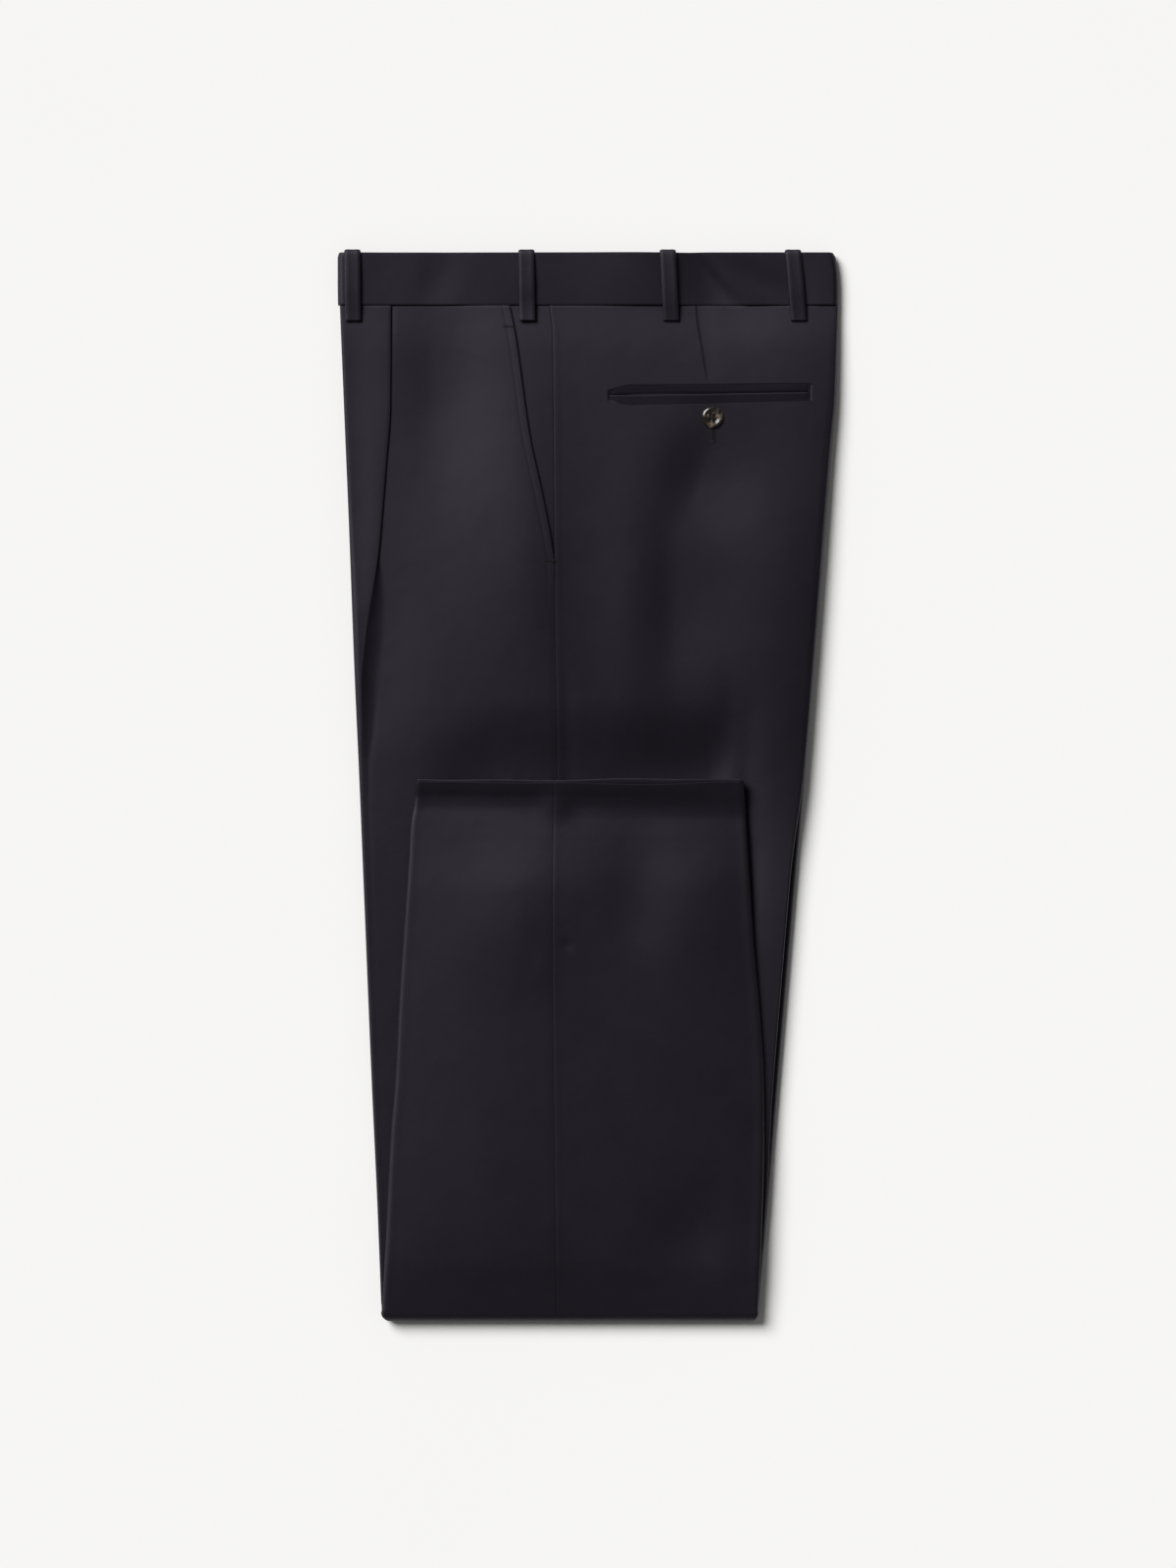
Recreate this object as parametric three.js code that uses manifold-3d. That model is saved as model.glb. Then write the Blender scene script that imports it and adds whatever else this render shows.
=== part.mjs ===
// Pleated wool trousers, pressed on their creases, laid on one side and folded in half at the knee.
// Millimetres, +X towards the back of the garment, +Y towards the waist, +Z up from the surface.
// The origin is on the surface, in the middle of the folded garment.
//
// The wearer's left leg lies on top. The right leg lies on the surface, turns up round the fold and comes
// back over the left leg as far as its hem. Each leg is a flattened tube, and its creases are rolled edges.
import Module from "manifold-3d";
import * as THREE from "three";
import { mergeVertices } from "three/addons/utils/BufferGeometryUtils.js";

// Driving dimensions
const CLOTH = 1.0; // thickness of a panel
const SEAM_GAP = 0.3; // between two pieces that are sewn together or lie on each other
const LAYER_GAP = 0.6; // between a panel and the hidden layers under it
const WAIST_SEAM = 333.2; // where the panels meet the waistband
const WAIST_TOP = 370; // top edge of the waistband
const HEM = 1.4; // hem of the leg that is folded over
const HIDDEN_HEM = 4.1; // hem of the layers under it, which peep out
const HEM_SLOT = { height: 0.5, length: 9 }; // parts those layers from each other at the hem
const HIDDEN_START = 318; // the hidden layers end here, below the open waist
const FOLD = -372.6; // the fold at the knee
const FOLD_RADIUS = 6.7;
const FOLD_CENTRE = FOLD + FOLD_RADIUS; // y of the fold's axis
const FOLD_CORNER = 2.6; // how far the fold's ends are rounded off
const LEFT_END = -361; // the left leg's panels turn back here, inside the fold
const CREASE_HEIGHT = 4.6; // height of one leg's rolled crease where it lies on the surface
const OVER_CREASE_RADIUS = 2.1; // rolled crease of the leg that is folded over
const CREASE_CLEARANCE = 2.8; // how far inside a crease of the upper leg the hidden layers stay
const HIDDEN_SETBACK = 0.4; // how far their own rolled crease stands back from it
const HIDDEN_COLUMNS = 16;
const BODY_FULLNESS = 4; // how soon the cloth rises from its edges to its full height: 2 is a round dome
const OVER_FULLNESS = 2.8;
const PLEAT_TURN = (CLOTH + SEAM_GAP) / 2; // radius of the pleat's two turns, on the middle of the cloth
const PLEAT_DROP = 0.45; // share of the pleat's step by which the cloth beside it lies lower
const PLEAT_ROOM = 0.35; // how much further the hidden layers stay from the cloth beside it
const POCKET_TURN = 11; // how far the cloth is lifted beside the side pocket
const POCKET_END = 156; // lower end of the side pocket
const FACING_UNDERLAP = 9; // how far the pocket's facing reaches under the front
const BAND = { height: 9.2, cloth: 2.8 };
const LOOP = { width: 11.3, cloth: 1.6, standOff: 0.9, tuck: 362, end: 321.8 };
const WELT = { cloth: 1.0, left: 13.5, right: 152.2 };
const BUTTON = { x: 85.7, y: 255, radius: 7.5, height: 2.6, bevel: 0.6, holeRadius: 0.9, holeSpacing: 3.0 };

// Outline of the garment where it lies flat. inset is how far the upper leg's back crease stands back
// from the lower leg's, and turn is the angle that the cloth turns through at the back edge: a quarter
// turn at the seat seam, and a half turn at a crease.
const BODY = [
  { y: 333.2, left: -173.2, right: 173.3, inset: 0, turn: 90 },
  { y: 273, left: -170.7, right: 172.0, inset: 0, turn: 90 },
  { y: 232, left: -169.0, right: 168.6, inset: 0, turn: 92 },
  { y: 190, left: -167.2, right: 165.2, inset: 0, turn: 100 },
  { y: 68, left: -162.5, right: 155.0, inset: 0, turn: 150 },
  { y: 10, left: -159.9, right: 150.3, inset: 0.6, turn: 180 },
  { y: -66, left: -156.8, right: 143.6, inset: 3.8, turn: 180 },
  { y: -210, left: -150.9, right: 131.2, inset: 3.4, turn: 180 },
  { y: -290, left: -147.2, right: 124.6, inset: 1.2, turn: 180 },
  { y: -372.6, left: -144.0, right: 116.9, inset: 0.4, turn: 180 },
];

// Outline of the leg that is folded over, from its hem to the fold
const OVER = [
  { y: 4.1, left: -120.0, right: 107.0 },
  { y: -14, left: -120.8, right: 108.6 },
  { y: -22, left: -123.8, right: 109.4 },
  { y: -46, left: -124.6, right: 110.7 },
  { y: -105, left: -128.8, right: 114.2 },
  { y: -155, left: -131.9, right: 118.4 },
  { y: -203, left: -134.2, right: 121.2 },
  { y: -244, left: -137.4, right: 121.6 },
  { y: -309, left: -140.4, right: 119.9 },
  { y: -372.6, left: -144.0, right: 116.9 },
];

// The waistband's ends, front and back
const BAND_OUTLINE = [
  { y: 370, left: -173.8, right: 169.6 },
  { y: 366.5, left: -174.8, right: 171.6 },
  { y: 350, left: -174.8, right: 173.4 },
  { y: 333.5, left: -174.6, right: 173.5 },
];

// Height of the left leg's outer cloth at its creases, and how much it swells between them
const BODY_HEIGHT = [
  { y: 333.2, edge: 7.5, swell: 0.6 },
  { y: 300, edge: 8.8, swell: 1.8 },
  { y: 240, edge: 9.4, swell: 3.4 },
  { y: 150, edge: 9.5, swell: 5.4 },
  { y: 85, edge: 9.4, swell: 6.4 },
  { y: 40, edge: 9.3, swell: 5.0 },
  { y: 0, edge: 9.2, swell: 2.2 },
  { y: -60, edge: 9.2, swell: 0.8 },
  { y: -200, edge: 9.0, swell: 0.2 },
  { y: -300, edge: 8.7, swell: 0.2 },
  { y: LEFT_END, edge: FOLD_RADIUS + CLOTH / 2, swell: 0 },
];

// Height of the cloth that is folded over: the hem stands up, the cloth dips below it and rises again
const OVER_HEIGHT = [
  { y: 4.1, edge: 19.4, swell: 0.5 },
  { y: -9, edge: 17.4, swell: 0.3 },
  { y: -20, edge: 16.8, swell: 0.6 },
  { y: -34, edge: 17.1, swell: 2.6 },
  { y: -52, edge: 17.5, swell: 4.2 },
  { y: -80, edge: 17.7, swell: 5.2 },
  { y: -140, edge: 17.8, swell: 5.4 },
  { y: -240, edge: 17.4, swell: 5.0 },
  { y: -300, edge: 16.7, swell: 4.0 },
  { y: -330, edge: 15.7, swell: 2.6 },
  { y: -350, edge: 14.5, swell: 1.0 },
  { y: FOLD_CENTRE, edge: 2 * FOLD_RADIUS, swell: 0 },
];

// The front pleat runs down into the front crease. edge is its fold, angle how far the cloth turns back
// under it, and run the straight stretch between its two turns.
const PLEAT = [
  { y: 333.2, edge: -137.2, angle: 180, run: 14 },
  { y: 263, edge: -137.6, angle: 180, run: 12 },
  { y: 223, edge: -140.4, angle: 180, run: 8 },
  { y: 181, edge: -144.6, angle: 180, run: 4 },
  { y: 142, edge: -149.8, angle: 150, run: 1.2 },
  { y: 115, edge: -153.4, angle: 100, run: 1.2 },
  { y: 90, edge: -156.8, angle: 55, run: 2.2 },
  { y: 60, edge: -159.6, angle: 25, run: 4.5 },
  { y: 25, edge: -165, angle: 8, run: 8 },
  { y: -10, edge: -165, angle: 0, run: 8 },
];

// Edge of the side pocket's opening, and the side seam of each leg
const POCKET_EDGE = [
  { y: 333.2, x: -55.2 },
  { y: 313, x: -51.2 },
  { y: 241, x: -40.9 },
  { y: 212, x: -34.6 },
  { y: 178, x: -27.6 },
  { y: 156, x: -23.95 },
];
const SIDE_SEAM = [
  { y: 333.2, x: -27.4 },
  { y: 313, x: -25.2 },
  { y: 156, x: -23.8 },
  { y: 10, x: -22.0 },
];
const OVER_SEAM = [
  { y: 4.1, x: -24.4 },
  { y: -98, x: -25.2 },
  { y: -250, x: -23.8 },
  { y: -372.6, x: -22.6 },
];

// The two lips of the back pocket: where their edges run at the left and the right end
const WELTS = [
  { name: "back_pocket_welt_upper", upper: [277.0, 278.4], lower: [271.0, 273.3] },
  { name: "back_pocket_welt_lower", upper: [270.4, 272.7], lower: [263.2, 266.8] },
];

// Middle of each belt loop at the waistband's top edge and at its own lower end
const BELT_LOOPS = [
  { name: "belt_loop_1", top: -164.3, bottom: -163.6 },
  { name: "belt_loop_2", top: -43.4, bottom: -42.6 },
  { name: "belt_loop_3", top: 54.8, bottom: 57.3 },
  { name: "belt_loop_4", top: 141.8, bottom: 146.0 },
];

// Large soft folds that the light shows: each is a ridge, or a trough where its height is negative
const BODY_FOLDS = [
  { x: -106, y: 268, width: 24, length: 62, height: -2.6 },
  { x: -52, y: 190, width: 40, length: 90, height: 5.2 },
  { x: 27, y: 100, width: 24, length: 70, height: 1.0 },
  { x: 81, y: 210, width: 34, length: 42, height: -3.6 },
  { x: 68, y: 122, width: 34, length: 48, height: -3.0 },
  { x: 76, y: 12, width: 40, length: 36, height: -3.4 },
];
const OVER_FOLDS = [
  { x: -56, y: -92, width: 42, length: 44, height: 2.5 },
  { x: 84, y: -80, width: 28, length: 36, height: 1.8 },
  { x: 34, y: -78, width: 26, length: 45, height: -1.8 },
  { x: -68, y: -250, width: 36, length: 70, height: 1.0 },
  { x: 74, y: -312, width: 30, length: 27, height: -2.8 },
];

// Stations down the garment
const BODY_ROWS = [
  WAIST_SEAM, 322, 308, 292, 276, 258, 240, 222, 204, 188, 172, 162, 152, 142, 129, 115, 102, 90, 75,
  60, 42, 25, 8, -12, -32, -48, -66, -100, -140, -210, -290, -335, LEFT_END,
];
const FACING_ROWS = BODY_ROWS.filter((y) => y > POCKET_END);
const HIDDEN_ROWS = [
  HIDDEN_START, 300, 276, 250, 222, 204, 188, 170, 150, 130, 110, 90, 60, 42, 25, 8, -12, -32, -48, -66,
  -100, -140, -210, -290, -335,
];
const FLOOR_ROWS = [WAIST_SEAM, 273, 190, 68, -66, -210, -300];
const OVER_ROWS = [
  -358, -350, -338, -322, -302, -275, -240, -203, -165, -130, -100, -75, -56, -44, -34, -25, -17, -9,
];
const FOLD_STEPS = 8;

const manifold = await Module();
manifold.setup();

const radians = THREE.MathUtils.degToRad;
const mix = THREE.MathUtils.lerp;
const ease = THREE.MathUtils.smoothstep;

// Whole numbers from 0 to n, as shares of n
const shares = (n) => Array.from({ length: n + 1 }, (_, i) => i / n);

// A column of a table between its rows, on a smooth curve that never overshoots them
function along(table, column, y) {
  const last = table.length - 1;
  if (y >= table[0].y) return table[0][column];
  if (y <= table[last].y) return table[last][column];
  const i = table.findIndex((row, k) => y >= table[k + 1].y);
  const secant = (k) => (table[k + 1][column] - table[k][column]) / (table[k + 1].y - table[k].y);
  const slope = (k) => {
    if (k === 0) return secant(0);
    if (k === last) return secant(last - 1);
    const [before, after] = [secant(k - 1), secant(k)];
    return before * after <= 0 ? 0 : (2 * before * after) / (before + after);
  };
  const step = table[i + 1].y - table[i].y;
  const t = (y - table[i].y) / step;
  const [a, b] = [table[i][column], table[i + 1][column]];
  const curve = a * (1 + 2 * t) * (1 - t) ** 2 + b * t ** 2 * (3 - 2 * t);
  return curve + step * (slope(i) * t * (1 - t) ** 2 - slope(i + 1) * t ** 2 * (1 - t));
}

// Height that a table of soft folds adds at a point
function folds(table, x, y) {
  const bell = (fold) => Math.exp(-(((x - fold.x) / fold.width) ** 2) - ((y - fold.y) / fold.length) ** 2);
  return table.reduce((sum, fold) => sum + fold.height * bell(fold), 0);
}

// 1 in the middle of a panel's width, and 0 at its two edges
function swelling(x, left, right, power) {
  const across = THREE.MathUtils.clamp((2 * x - left - right) / (right - left), -1, 1);
  return 1 - Math.abs(across) ** power;
}

// Outer surface of the left leg, without its pleat
function bodyTop(x, y) {
  const full = swelling(x, along(BODY, "left", y), along(BODY, "right", y), BODY_FULLNESS);
  return along(BODY_HEIGHT, "edge", y) + full * (along(BODY_HEIGHT, "swell", y) + folds(BODY_FOLDS, x, y));
}

// Outer surface of the leg that is folded over
function overTop(x, y) {
  const full = swelling(x, along(OVER, "left", y), along(OVER, "right", y), OVER_FULLNESS);
  return along(OVER_HEIGHT, "edge", y) + full * (along(OVER_HEIGHT, "swell", y) + folds(OVER_FOLDS, x, y));
}

// How far the cloth drops from the pleat's upper level to the front panel beside it
function pleatStep(y) {
  const angle = radians(along(PLEAT, "angle", y));
  return 2 * PLEAT_TURN * (1 - Math.cos(angle)) + along(PLEAT, "run", y) * Math.sin(angle);
}

// The front panel beside the pleat: it lies a little lower there
function frontTop(x, y) {
  const beside = Math.max(0, x - along(PLEAT, "edge", y)) / 12;
  return bodyTop(x, y) - PLEAT_DROP * pleatStep(y) * Math.exp(-(beside ** 2));
}

// Height of the strip between the front crease and the pleat, and of the pleat's fold
function pleatLevel(y) {
  const past = along(PLEAT, "run", y) * Math.max(0, Math.cos(radians(along(PLEAT, "angle", y))));
  return frontTop(along(PLEAT, "edge", y) + past, y) + pleatStep(y);
}

// Right edge of the left front: the pocket's opening, and the side seam below it
function frontEdge(y) {
  if (y > POCKET_END) return along(POCKET_EDGE, "x", y);
  return along(SIDE_SEAM, "x", y) - SEAM_GAP / 2;
}

// One closed solid between an outer and an inner grid of points
function solidBetween(outer, inner) {
  const rows = outer.length;
  const columns = outer[0].length;
  const points = [...outer.flat(), ...inner.flat()];
  const at = (layer, row, column) => (layer * rows + row) * columns + column;
  const triangles = [];
  const quad = (a, b, c, d) => triangles.push(a, b, c, a, c, d);
  for (let r = 0; r < rows - 1; r++)
    for (let c = 0; c < columns - 1; c++) {
      quad(at(0, r, c), at(0, r + 1, c), at(0, r + 1, c + 1), at(0, r, c + 1));
      quad(at(1, r, c), at(1, r, c + 1), at(1, r + 1, c + 1), at(1, r + 1, c));
    }
  for (let c = 0; c < columns - 1; c++) {
    quad(at(0, 0, c), at(0, 0, c + 1), at(1, 0, c + 1), at(1, 0, c));
    quad(at(0, rows - 1, c), at(1, rows - 1, c), at(1, rows - 1, c + 1), at(0, rows - 1, c + 1));
  }
  const last = columns - 1;
  for (let r = 0; r < rows - 1; r++) {
    quad(at(0, r, 0), at(1, r, 0), at(1, r + 1, 0), at(0, r + 1, 0));
    quad(at(0, r, last), at(0, r + 1, last), at(1, r + 1, last), at(1, r, last));
  }
  const corner = (i) => points[triangles[i]];
  let volume = 0;
  for (let i = 0; i < triangles.length; i += 3)
    volume += corner(i).dot(new THREE.Vector3().crossVectors(corner(i + 1), corner(i + 2)));
  if (volume < 0) triangles.reverse();
  const geometry = new THREE.BufferGeometry().setFromPoints(points).setIndex(triangles);
  geometry.computeVertexNormals();
  return geometry;
}

// Cuts slots out of a solid
function cut(geometry, slots) {
  const solid = ({ attributes, index }) => {
    const bare = new THREE.BufferGeometry().setAttribute("position", attributes.position).setIndex(index);
    const merged = mergeVertices(bare);
    const vertProperties = merged.attributes.position.array;
    const triVerts = new Uint32Array(merged.index.array);
    return new manifold.Manifold(new manifold.Mesh({ numProp: 3, vertProperties, triVerts }));
  };
  const rest = slots.reduce((whole, slot) => whole.subtract(solid(slot)), solid(geometry));
  const { vertProperties, triVerts } = rest.getMesh();
  const left = new THREE.BufferGeometry().setIndex(new THREE.BufferAttribute(triVerts, 1));
  left.setAttribute("position", new THREE.BufferAttribute(vertProperties, 3));
  left.computeVertexNormals();
  return left;
}

// A section is a list of points of the cloth's middle line, each with the direction of its outer face.
// This turns the sections at some stations into a wall of even thickness.
function wallOf(sections, place, cloth = CLOTH) {
  const side = (share) =>
    sections.map((section, i) =>
      section.map(({ x, z, nx, nz }) => place(i, x + nx * share * cloth, z + nz * share * cloth)),
    );
  return solidBetween(side(0.5), side(-0.5));
}

// A rolled edge seen from the waist: it starts at the top and turns down, out to edge, through turn.
// side is -1 at the front edge and 1 at the back edge.
function rolledEdge(edge, top, height, turn, side, cloth = CLOTH, steps = 5) {
  const radius = height / (1 - Math.cos(turn));
  return shares(steps).map((share) => {
    const angle = share * turn;
    const [nx, nz] = [side * Math.sin(angle), Math.cos(angle)];
    const reach = radius - cloth / 2;
    return { x: edge - side * radius + nx * reach, z: top - radius + nz * reach, nx, nz };
  });
}

// Points of the cloth's middle line under an outer surface
const under = (surface, xs, cloth = CLOTH) =>
  xs.map((x) => ({ x, z: surface(x) - cloth / 2, nx: 0, nz: 1 }));

// The left front at one station: front crease, the strip before the pleat, the pleat and the panel
function leftFrontSection(y) {
  const edge = along(BODY, "left", y);
  const angle = radians(along(PLEAT, "angle", y));
  const run = along(PLEAT, "run", y);
  const fold = along(PLEAT, "edge", y);
  const level = pleatLevel(y);
  const lowest = CREASE_HEIGHT + SEAM_GAP;
  const crease = rolledEdge(edge, level, level - lowest, Math.PI, -1).reverse();
  const stripStart = edge + (level - lowest) / 2;
  const turnStart = Math.max(fold - PLEAT_TURN - CLOTH / 2, stripStart + 0.8);
  const strip = under(() => level, [0.25, 0.6, 1].map((share) => mix(stripStart, turnStart, share)));
  const firstTurn = shares(4).slice(1).map((share) => {
    const [nx, nz] = [Math.sin(share * angle), Math.cos(share * angle)];
    return { x: turnStart + PLEAT_TURN * nx, z: level - CLOTH / 2 - PLEAT_TURN * (1 - nz), nx, nz };
  });
  const turned = firstTurn.at(-1);
  const runEnd = { x: turned.x + run * Math.cos(angle), z: turned.z - run * Math.sin(angle) };
  const secondTurn = shares(4).map((share) => {
    const [nx, nz] = [Math.sin((1 - share) * angle), Math.cos((1 - share) * angle)];
    return {
      x: runEnd.x + PLEAT_TURN * (Math.sin(angle) - nx),
      z: runEnd.z + PLEAT_TURN * (Math.cos(angle) - nz),
      nx,
      nz,
    };
  });
  const panelStart = secondTurn.at(-1).x;
  const right = frontEdge(y);
  const besidePocket = right - 2 * POCKET_TURN;
  const lifted = (CLOTH + SEAM_GAP) * ease(y, POCKET_END - 8, POCKET_END + 3);
  const lift = (x) => lifted * ease(x, besidePocket, right - POCKET_TURN);
  const xs = [0.12, 0.26, 0.44, 0.62, 0.81, 1].map((share) => mix(panelStart, besidePocket, share));
  const panel = under((x) => frontTop(x, y) + lift(x), [...xs, right - POCKET_TURN, right]);
  return [...crease, ...strip, ...firstTurn, ...secondTurn, ...panel];
}

// The left back at one station: from the side seam to the seat seam or the back crease
function leftBackSection(y) {
  const seam = along(SIDE_SEAM, "x", y) + SEAM_GAP / 2;
  const edge = along(BODY, "right", y) - along(BODY, "inset", y);
  const turn = radians(along(BODY, "turn", y));
  const top = bodyTop(edge - CREASE_HEIGHT, y);
  const height = top - CREASE_HEIGHT - SEAM_GAP;
  const crease = rolledEdge(edge, top, height, turn, 1);
  const xs = shares(9).slice(0, -1).map((share) => mix(seam, edge - height / (1 - Math.cos(turn)), share));
  return [...under((x) => bodyTop(x, y), xs), ...crease];
}

// A point of the fold: x across, and its depth below the cloth's outer face
const foldPlace = (angle) => (x, depth) => {
  const reach = FOLD_RADIUS - depth;
  return new THREE.Vector3(x, FOLD_CENTRE - reach * Math.cos(angle), FOLD_RADIUS + reach * Math.sin(angle));
};

// The right leg's cloth as a strip that runs along the surface, round the fold and back to the hem.
// A station says where the strip is, and place puts a point of its section there: x across, and its
// depth below the cloth's outer face.
const rightStations = [
  ...FLOOR_ROWS.map((y) => ({
    y,
    left: along(BODY, "left", y),
    right: along(BODY, "right", y),
    seam: along(SIDE_SEAM, "x", y),
    turn: radians(along(BODY, "turn", y)),
    height: CREASE_HEIGHT,
    place: (x, depth) => new THREE.Vector3(x, y, depth),
  })),
  ...shares(FOLD_STEPS).map((share) => {
    const angle = mix(-Math.PI / 2, Math.PI / 2, share);
    const rounded = FOLD_CORNER * Math.cos(angle) ** 3;
    return {
      y: FOLD_CENTRE,
      left: along(BODY, "left", FOLD_CENTRE) + rounded,
      right: along(BODY, "right", FOLD_CENTRE) - rounded,
      seam: along(OVER_SEAM, "x", FOLD_CENTRE),
      turn: Math.PI,
      height: mix(CREASE_HEIGHT, 2 * OVER_CREASE_RADIUS, share),
      place: foldPlace(angle),
    };
  }),
  ...[...OVER_ROWS, HEM].map((y) => ({
    y,
    left: along(OVER, "left", y),
    right: along(OVER, "right", y),
    seam: along(OVER_SEAM, "x", y),
    turn: Math.PI,
    height: 2 * OVER_CREASE_RADIUS,
    place: (x, depth) => new THREE.Vector3(x, y, overTop(x, y) - depth),
  })),
];

// One panel of the right leg, from its side seam to its crease
function rightPanel(side, columns) {
  const sections = rightStations.map((station) => {
    const edge = side < 0 ? station.left : station.right;
    const turn = side < 0 ? Math.PI : station.turn;
    const radius = station.height / (1 - Math.cos(turn));
    const seam = station.seam + (side * SEAM_GAP) / 2;
    const xs = shares(columns).slice(0, -1).map((share) => mix(seam, edge - side * radius, share));
    return [...under(() => 0, xs), ...rolledEdge(edge, 0, station.height, turn, side)];
  });
  return wallOf(sections, (i, x, z) => rightStations[i].place(x, -z));
}

// Where the hidden layers end under the left leg's cloth, clear of the pleat's lower turn
function hiddenTop(x, y) {
  const fold = along(PLEAT, "edge", y);
  const underPleat = (PLEAT_DROP * pleatStep(y) + PLEAT_ROOM) * (1 - ease(x, fold + 12, fold + 60));
  return bodyTop(x, y) - CLOTH - LAYER_GAP - underPleat;
}

// The hidden layers are one rounded solid. It lies between the legs, turns round the fold with the right
// leg, and closes on the end of the left leg's panels. Its depth is measured from the right leg's outer
// face, and inner gives the depth where it ends. lobe says how far its own crease rolls out.
const hiddenStations = [
  ...HIDDEN_ROWS.map((y) => ({
    left: along(BODY, "left", y),
    right: along(BODY, "right", y) - along(BODY, "inset", y),
    inset: 2 * CREASE_CLEARANCE,
    crease: CREASE_HEIGHT,
    lobe: 0,
    inner: (x) => hiddenTop(x, y),
    place: (x, depth) => new THREE.Vector3(x, y, depth),
  })),
  ...shares(FOLD_STEPS - 2).map((share) => {
    const angle = mix(-Math.PI / 2, Math.PI / 2, share);
    return {
      left: along(BODY, "left", FOLD_CENTRE),
      right: along(BODY, "right", FOLD_CENTRE),
      inset: mix(2, 1, share) * CREASE_CLEARANCE + FOLD_CORNER * Math.cos(angle) ** 3,
      crease: mix(CREASE_HEIGHT, 2 * OVER_CREASE_RADIUS, share),
      lobe: ease(share, 0.45, 0.9),
      inner: () => FOLD_RADIUS - CLOTH / 2 - LAYER_GAP,
      place: foldPlace(angle),
    };
  }),
  ...[...OVER_ROWS, HIDDEN_HEM].map((y) => ({
    left: along(OVER, "left", y),
    right: along(OVER, "right", y),
    inset: CREASE_CLEARANCE,
    crease: 2 * OVER_CREASE_RADIUS,
    lobe: 1,
    inner: (x) => overTop(x, y) - bodyTop(x, y) - LAYER_GAP,
    place: (x, depth) => new THREE.Vector3(x, y, overTop(x, y) - depth),
  })),
];

// Side of the hidden layers, from the middle of its rolled crease to its outer or its inner face. past is
// the place between the panel's own crease, at 0, and the inner face, at 1.
const HIDDEN_SIDE = {
  outer: [
    { past: 0.42, out: 1 },
    { past: 0.12, out: 0.8 },
    { past: 0, out: 0 },
  ],
  inner: [
    { past: 0.6, out: 1 },
    { past: 0.88, out: 0.8 },
    { past: 1, out: 0 },
  ],
};

function hiddenLayers(face) {
  return hiddenStations.map(({ left, right, inset, crease, lobe, inner, place }) => {
    const faceDepth = face === "outer" ? () => CLOTH + LAYER_GAP : inner;
    const sidePoint = (edge, side) => ({ past, out }) => {
      const x = edge - side * mix(inset, HIDDEN_SETBACK, out * lobe);
      return place(x, mix(crease + SEAM_GAP, inner(x), past));
    };
    return [
      ...HIDDEN_SIDE[face].map(sidePoint(left, -1)),
      ...shares(HIDDEN_COLUMNS).map((share) => {
        const x = mix(left + inset + HIDDEN_SETBACK, right - inset - HIDDEN_SETBACK, share);
        return place(x, faceDepth(x));
      }),
      ...HIDDEN_SIDE[face].toReversed().map(sidePoint(right, 1)),
    ];
  });
}

// A slot along the hem, between two of the hidden layers. share is its depth between their two faces.
function hemSlot(share) {
  const face = (side) =>
    [HIDDEN_HEM - HEM_SLOT.length, HIDDEN_HEM + 1].map((y) =>
      shares(12).map((across) => {
        const x = mix(along(OVER, "left", y) - 1, along(OVER, "right", y) + 1, across);
        const layers = mix(overTop(x, y) - CLOTH - LAYER_GAP, bodyTop(x, y) + LAYER_GAP, share);
        return new THREE.Vector3(x, y, layers + (side * HEM_SLOT.height) / 2);
      }),
    );
  return solidBetween(face(1), face(-1));
}

// The facing behind the side pocket's opening
function pocketFacing() {
  const sections = FACING_ROWS.map((y) => {
    const [from, to] = [frontEdge(y) - FACING_UNDERLAP, along(SIDE_SEAM, "x", y) - SEAM_GAP / 2];
    return under((x) => bodyTop(x, y), shares(4).map((share) => mix(from, to, share)));
  });
  return wallOf(sections, (i, x, z) => new THREE.Vector3(x, FACING_ROWS[i], z));
}

// Half of the waistband: up is 1 for the left half on top, and -1 for the right half on the surface
function waistband(up) {
  const rows = BAND_OUTLINE.map((row) => row.y);
  const middle = BAND.height / 2;
  const height = middle - SEAM_GAP / 2;
  const turn = Math.PI / 2;
  const sections = rows.map((y) => {
    const [left, right] = [along(BAND_OUTLINE, "left", y), along(BAND_OUTLINE, "right", y)];
    const front = rolledEdge(left, BAND.height, height, turn, -1, BAND.cloth).reverse();
    const back = rolledEdge(right, BAND.height, height, turn, 1, BAND.cloth);
    const xs = shares(8).slice(1, -1).map((share) => mix(left + height, right - height, share));
    return [...front, ...under(() => BAND.height, xs, BAND.cloth), ...back];
  });
  const place = (i, x, z) => new THREE.Vector3(x, rows[i], middle + up * (z - middle));
  return wallOf(sections, place, BAND.cloth);
}

// Outer surface of whatever panel lies under a point of the front or the back
function panelTop(x, y) {
  if (x < along(PLEAT, "edge", y)) return pleatLevel(y);
  return x < frontEdge(y) ? frontTop(x, y) : bodyTop(x, y);
}

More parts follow.
